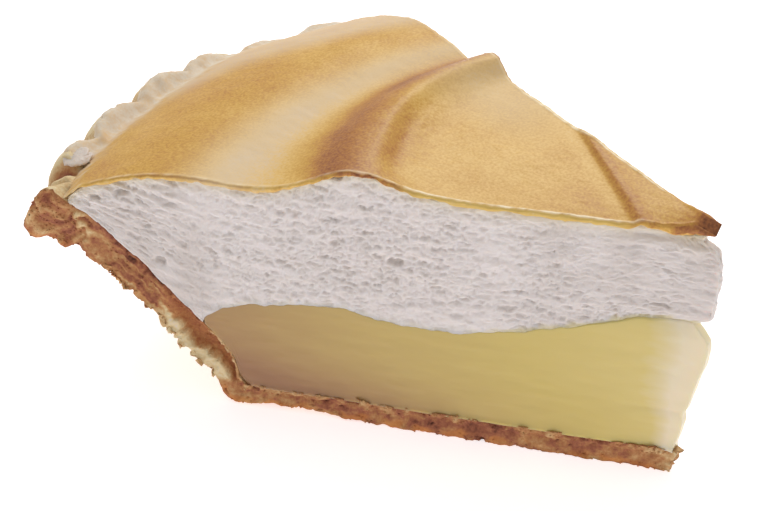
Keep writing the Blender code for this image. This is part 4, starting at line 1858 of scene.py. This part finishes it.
    @staticmethod
    def soaked(r: Array, over_foot: Array, under_skin: Array, spots: Array) -> Array:
        """How yellow with syrup the foam is: where it seeped up from the curd, and under the skin.

        Args:
            r: distance from the pie's centre.
            over_foot: height above the foam's foot.
            under_skin: depth below the skin.
            spots: the places.

        Returns:
            From 0 to 1, for each place.
        """
        seeped = smooth(1 - over_foot / (1.0 + noise(spots, 1.8, 56)))
        seeped *= 0.3 * ramp(r, 90, 84) + 0.7 * ramp(r, 42, 30)
        return np.maximum(0.8 * seeped, 0.5 * np.exp(-np.clip(under_skin, 0, None) / 1.2))

    def foam(self) -> Piece:
        """The foam between the curd, the pastry and the skin, torn open along the cuts.

        Returns:
            The foam.
        """
        far = stations((0.0, 1.0), (self.foam_radius, self.foam_step))
        block = Block(len(far) - 1, self.foam_columns, self.foam_layers)
        r, turn, share = far[block.i], block.j / self.foam_columns, block.k / self.foam_layers
        low, high = self.foam_heights(r, turn)
        z = low + (np.maximum(high, low + self.least_foam) - low) * share
        points = SHAPE.place(r, turn, z)
        points[:, 0] += between(self.foam_nose, z) * np.exp(-((r / self.nose_length) ** 2))
        outward = np.where(block.is_cut[:, None], SHAPE.outward(turn), 0.0)
        outward[block.i == 0] += (0.7, 0.0, 0.0)
        # painted shade, kept in the foam's hollow attribute
        hollow = self.shade(r, z, points)
        for void in self.voids:
            depth = void.share(r, z) * (turn == 0)
            points -= (void.depth * depth)[:, None] * outward
            # painted shade: the torn bubbles are also painted darker
            hollow = np.maximum(hollow, depth)
        spots, flow = joined(r, z, turn * WIDTH), self.flow(r, turn, z)
        coarse = ramp(r, 88, 100) * ramp(z, 38, 44)
        sound = ramp(z - low, 0, self.sound_foot)
        folds = across(self.fold_depth, coarse) * noise(flow, self.fold_size, 68, 2)
        points -= (folds * sound - 0.03)[:, None] * outward
        torn = 0.75 + 0.35 * noise(spots, 9.0, 57) + 0.35 * coarse - 0.25 * ramp(z, 34, 26)
        values = {
            "outward": outward,
            "flow": flow,
            "torn": torn * sound,
            "hollow": hollow,
            "syrup": self.soaked(r, z - low, high - z, spots),
        }
        piece = make_piece("meringue_foam", points, block.quads, values)
        amounts = dict(zip(("Pore Length", "Pore Height", "Pore Depth"), self.pore_size))
        amounts |= {"Dig": self.pore_depth * MM, "Material": self.foam_finish.material()}
        return shape_piece(self.pore_tree(), piece, amounts)

    @staticmethod
    def pore_tree() -> Tree:
        """Digs torn bubbles into the cut faces, along the way that the foam was spread, and paints shade into
        them.

        Returns:
            The geometry tree.
        """
        numbers = ("Pore Length", "Pore Height", "Pore Depth", "Dig")
        tree, given = new_geometry_tree("torn_foam", dict.fromkeys(numbers, SocketKind.NUMBER))
        ways, shares = named("flow", "outward"), named("torn", "hollow")
        flow, outward = add_nodes(tree, NAMED_ATTRIBUTE, ways, data_type="FLOAT_VECTOR")
        torn, hollow = add_nodes(tree, NAMED_ATTRIBUTE, shares, data_type="FLOAT")
        drift = add_node(tree, "ShaderNodeTexNoise", {"Vector": flow, "Scale": 0.5, "Detail": 3.0})
        middle = {0: drift.outputs["Color"], 1: (0.5, 0.5, 0.5)}
        centred = add_node(tree, "ShaderNodeVectorMath", middle, operation="SUBTRACT")
        straying = {0: centred, 1: (4.0, 2.2, 2.0), 2: flow}
        strayed = add_node(tree, "ShaderNodeVectorMath", straying, operation="MULTIPLY_ADD")
        axes = {axis: given.outputs[title] for axis, title in enumerate(numbers[:3])}
        sizes = add_node(tree, "ShaderNodeCombineXYZ", axes)
        cells = add_node(tree, "ShaderNodeVectorMath", {0: strayed, 1: sizes}, operation="DIVIDE")
        pore = Meringue.bowls(tree, cells, 1.0, 0.35, 1.0)
        for operation, other in (("ADD", Meringue.bowls(tree, cells, 2.3, 0.1, 0.45)), ("MULTIPLY", torn)):
            pore = add_node(tree, "ShaderNodeMath", {0: pore, 1: other}, operation=operation)
        inwards = pore
        for factor in (given.outputs["Dig"], -1.0):
            inwards = add_node(tree, "ShaderNodeMath", {0: inwards, 1: factor}, operation="MULTIPLY")
        opened = displace(tree, given.outputs["Geometry"], outward, inwards)
        # painted shade: darker colour where the bubbles are deep and where the foam lies in shade
        shade = add_node(tree, "ShaderNodeMath", {0: pore, 1: hollow}, operation="MAXIMUM")
        kept = add_node(
            tree,
            "GeometryNodeStoreNamedAttribute",
            {"Geometry": opened, "Name": "pore", "Value": shade},
            data_type="FLOAT",
            domain="POINT",
        )
        end_geometry_tree(tree, given, kept)
        return tree

    @staticmethod
    def bowls(
        tree: Tree, cells: Node, scale: float, least: float, most: float
    ) -> Node:
        """Rounded bowls that meet in thin ridges.

        Args:
            tree: the geometry tree.
            cells: places, one bowl to a unit.
            scale: how many bowls fit in a unit.
            least: the shallowest bowl's depth.
            most: the deepest bowl's depth.

        Returns:
            The node with the depth at each place.
        """
        spots = {"Vector": cells, "Scale": scale}
        edge = add_node(tree, "ShaderNodeTexVoronoi", spots, feature="DISTANCE_TO_EDGE")
        cell = add_node(tree, "ShaderNodeTexVoronoi", spots)
        wall = add_node(tree, "ShaderNodeMapRange", {"Value": edge, "From Min": 0.0, "From Max": 0.34})
        round_off = add_node(tree, "ShaderNodeMath", {0: wall, 1: 0.9}, operation="POWER")
        chance = add_node(tree, "ShaderNodeSeparateXYZ", {"Vector": cell.outputs["Color"]})
        strength = add_node(tree, "ShaderNodeMapRange", {"Value": chance, "To Min": least, "To Max": most})
        return add_node(tree, "ShaderNodeMath", {0: round_off, 1: strength}, operation="MULTIPLY")

    def skin_turns(self) -> Array:
        """The skin's columns, close together at the cuts.

        Returns:
            The columns' turns.
        """
        *near_cuts, first = self.skin_near_cuts
        inner = np.linspace(first, 1 - first, self.skin_columns - len(near_cuts))
        return np.concatenate([near_cuts, inner, 1 - np.array(near_cuts)[::-1]])

    def lip(self, r: Array, turn: Array, share: Array, points: Array) -> Array:
        """How far the skin stands out from the foam along a cut, rounded off and ragged.

        Args:
            r: distance from the pie's centre.
            turn: 0 at the near cut and 1 at the far one.
            share: 0 at the skin's underside and 1 at its top.
            points: the places.

        Returns:
            The distances.
        """
        rounded = np.sqrt(np.clip(1 - (2 * share - 1) ** 2, 0, 1))
        ragged = (0.16 + 0.3 * bump(r - 58, 6.0) + 0.25 * np.exp(-r / 9)) * np.where(turn < 0.5, 1.0, 0.4)
        reach = self.lip_reach * (0.45 + 0.55 * rounded) + ragged * noise(points, 0.9, 51, 2)
        return np.clip(reach, 0.02, None) * (0.35 + 0.65 * ramp(r, 0, 2.4))

    def skin(self) -> Piece:
        """The toasted skin, with a lip along each cut.

        Returns:
            The skin.
        """
        far = stations(*self.skin_stops)
        turns = self.skin_turns()
        block = Block(len(far) - 1, len(turns) - 1, self.skin_layers)
        turn, share = turns[block.j], block.k / self.skin_layers
        r = far[block.i]
        start, edge = self.skin_stretch_from, SHAPE.meringue_edge_radius
        r = r + np.clip((r - start) / (edge - start), 0, 1) * (self.edge_radius(turn) - edge)
        top = self.top(r, turn)
        thin = 1 - self.rim_thinning * ramp(r, start, start + 7)
        top += 0.45 * bump(r - 1.6, 1.6) + 0.45 * bump(r - 3.8, 2.4)
        z = top - self.thickness(r) * thin * (1 - share)
        from_cut = SHAPE.from_cut(r, turn)
        points = SHAPE.place(r, turn, z)
        z += (0.22 + 0.12 * noise(points, 1.6, 58, 2)) * bump(from_cut - 0.15, 0.25) * share
        near_cut = np.exp(-from_cut / 0.3) * np.where(turn < 0.5, 1.0, 0.3)
        z += (0.35 * noise(points, 1.2, 66, 2) + 0.25 * noise(points, 3.5, 69)) * near_cut * (1 - share)
        points = SHAPE.place(r, turn, z)
        end = -1.6 + 2.5 * np.minimum(share / 0.65, (1 - share) / 0.35) ** 0.7
        points[:, 0] += end * np.exp(-((r / self.tip_length) ** 2))
        points[:, 2] -= 0.25 * np.exp(-from_cut / 0.4) * share
        is_cut = block.is_cut
        points += np.where(is_cut, self.lip(r, turn, share, points), 0.0)[:, None] * SHAPE.outward(turn)
        grain = 0.05 * noise(points, 1.1, 52, 2) + 0.12 * noise(points, 6.0, 53)
        points[:, 2] += np.where(block.k > 0, grain, 0.0)
        clean = ramp(r, 56, 50) * ramp(r, 11, 16)
        # painted highlight: a thin bright line just inside the cut, where the rounded edge of the skin
        # catches the light
        highlight_line = ~is_cut * (share > 0.9) * ramp(r, 8, 13) * bump(from_cut - 0.26, 0.16)
        values = {
            "toast_and_light": self.toast_and_light(r, turn, share, is_cut, points),
            "film_and_light": self.film_and_light(r, turn, points),
            "syrup": is_cut * (0.2 * ramp(r, 60, 70) + 0.7 * clean),
            "painted_highlight": highlight_line * (0.35 + 0.6 * clean) * (1 + noise(points, 0.8, 70)),
        }
        return make_piece("meringue_skin", points, block.quads, values, self.skin_finish.material())

    def film_and_light(self, r: Array, turn: Array, points: Array) -> Array:
        """How pale the skin is: unbrowned over the rim and towards the far edge, with painted light in the
        valley and on the inner flanks towards the far cut.

        Args:
            r: distance from the pie's centre.
            turn: 0 at the near cut and 1 at the far one.
            points: the places.

        Returns:
            From 0 for toasted skin to 1 for the palest, for each place.
        """
        far_edge = between(self.film_edge, turn)
        share = 0.5 * ramp(r, far_edge, far_edge + 10) + 0.4 * ramp(r, 113.5, 116.5)
        share += sum(band.at(r, turn) for band in self.painted_light_bands)
        return np.clip(share + 0.35 * ramp(r, 111, 115) * noise(points, 1.3, 64, 3), 0, 1)

    def toast_and_light(self, r: Array, turn: Array, share: Array, is_cut: Array, points: Array) -> Array:
        """How brown the skin is painted: 0 is pale and 1 is burnt; some bands are painted highlight, and
        painted light on flanks in shade.

        Args:
            r: distance from the pie's centre.
            turn: 0 at the near cut and 1 at the far one.
            share: 0 at the skin's underside and 1 at its top.
            is_cut: whether each place is on a cut face.
            points: the places.

        Returns:
            One value for each place.
        """
        from_crest = r - SHAPE.swirl_radius(turn)
        browned = 0.15 + 0.07 * np.exp(-((turn / 0.55) ** 2)) + 0.1 * ramp(turn, 0.5, 0.8)
        flank = from_crest - 4.2 - 1.6 * turn
        level = 0.55 + browned * bump(flank, np.where(flank > 0, 2.6 + 1.3 * ramp(turn, 0.25, 0.55), 4.4))
        for bands, distance in (
            (self.toast_and_light_bands, r),
            (self.crest_toast_and_light_bands, from_crest),
            (self.groove_bands, SHAPE.from_groove(r, turn)),
        ):
            level += sum(band.at(distance, turn) for band in bands)
        level += Band(-0.03, (96.0, 86.0), (8.0, 8.0), (0.0, 0.3)).at(r, turn) * ramp(turn, 1.1, 0.7)
        along = SHAPE.stroke_distance(r, turn)
        # the dark line along the stroke is partly browning and partly painted shade below its step; the paler
        # band beside it is painted light
        stroke = 0.13 * bump(along - 0.2, np.where(along > 0.2, 1.6, 0.55))
        stroke -= 0.1 * bump(along + 1.8, 1.2) + 0.02 * ramp(along, 0, 2)
        level += stroke * ramp(r, 42, 32) + 0.2 * np.exp(-((r / 1.9) ** 2)) + 0.1 * np.exp(-r / 8)
        burnt = 0.32 * bump(r - 58.5, 5.5) + 0.28 * np.exp(-((r / 13) ** 2))
        face = 0.42 + 0.14 * noise(points, 1.3, 61, 2) + burnt
        face -= 0.25 * ramp(share, 0.3, 0.1) * smooth(burnt * 5)
        face += 0.22 * ramp(r, 78, 86) * ramp(share, 0.7, 0.9) * ramp(r, 112, 104)
        return np.where(is_cut, face, level) + 0.035 * noise(points, 9.0, 62, 2)

    def dab(self) -> Piece:
        """A glossy dab of unbrowned egg white on the rim's first lobe.

        Returns:
            The dab.
        """
        block = Block(*(self.dab_cells,) * 3)
        cube = joined(block.i, block.j, block.k) * 2 / self.dab_cells - 1
        ball = cube / np.linalg.norm(cube, axis=1)[:, None]
        middle = SHAPE.place(self.dab_radius, self.dab_turn, 0.0)
        middle[2] = SHAPE.rim_top(np.array(self.dab_radius), np.array(self.dab_turn)) + 0.2
        points = middle + ball * self.dab_size * (1 + 0.3 * noise(ball, 0.7, 65, 3))[:, None]
        values = {"pore": np.full(len(ball), 0.2)}
        return make_piece("meringue_dab", points, block.quads, values, self.dab_finish.material())


# ---- studio ------------------------------------------------------------------------------


@dataclass
class Studio:
    """The table top, the soft lights and the camera."""

    floor_size: float = 4.0
    azimuth: float = 35.28
    elevation: float = 36.66
    distance: float = 258.93
    aim_above_centre: Triple = (9.88, -21.27, 40.96)
    lens: float = 68.567
    sky_strength: float = 0.55
    key_power: float = 4.2
    key_size: float = 0.4
    key_place: Triple = (-0.25, 0.59, 0.64)
    finish: MattBoardFinish = field(default_factory=MattBoardFinish)

    def build(self) -> None:
        """Sets up the whole studio."""
        self.floor()
        self.lights()
        self.camera()

    def floor(self) -> None:
        """A wide white card under the slice."""
        half = self.floor_size / 2
        mesh = bpy.data.meshes.new("floor")
        corners = [(-half, -half), (half, -half), (half, half), (-half, half)]
        mesh.from_pydata([(x, y, -0.02 * MM) for x, y in corners], [], [(0, 1, 2, 3)])
        mesh.materials.append(self.finish.material())
        floor = add_object("floor", mesh)

    def lights(self) -> None:
        """A bright even sky, and one large soft light above and behind."""
        scene = bpy.context.scene
        world = bpy.data.worlds.new("studio_sky")
        world.use_nodes = True
        sky = world.node_tree.nodes["Background"]
        sky.inputs["Color"].default_value = linear("#FFFFFF")
        sky.inputs["Strength"].default_value = self.sky_strength
        scene.world = world
        light = bpy.data.lights.new("key_softbox", "AREA")
        light.shape = "SQUARE"
        light.size = self.key_size
        light.energy = self.key_power
        key = add_object("key_softbox", light)
        key.location = self.key_place
        key.rotation_euler = (-Vector(self.key_place)).to_track_quat("-Z", "Y").to_euler()
        scene.view_settings.view_transform = "Standard"

    def camera(self) -> None:
        """The camera, level and a little above the slice."""
        lens = bpy.data.cameras.new("camera")
        lens.lens = self.lens
        lens.clip_start = 0.01
        camera = add_object("camera", lens)
        side, above = math.radians(self.azimuth), math.radians(self.elevation)
        level = math.cos(above)
        back = Vector((math.sin(side) * level, -math.cos(side) * level, math.sin(above)))
        aim = Vector(self.aim_above_centre)
        camera.location = (aim + back * self.distance) * MM
        camera.rotation_euler = (-back).to_track_quat("-Z", "Y").to_euler()
        bpy.context.scene.camera = camera


def main() -> None:
    """Builds the slice from the table up, and the studio round it."""
    logging.basicConfig(level=logging.INFO, format="%(message)s")
    for part in (Pastry(), Curd(), Meringue(), Studio()):
        part.build()


if __name__ == "__main__":
    main()
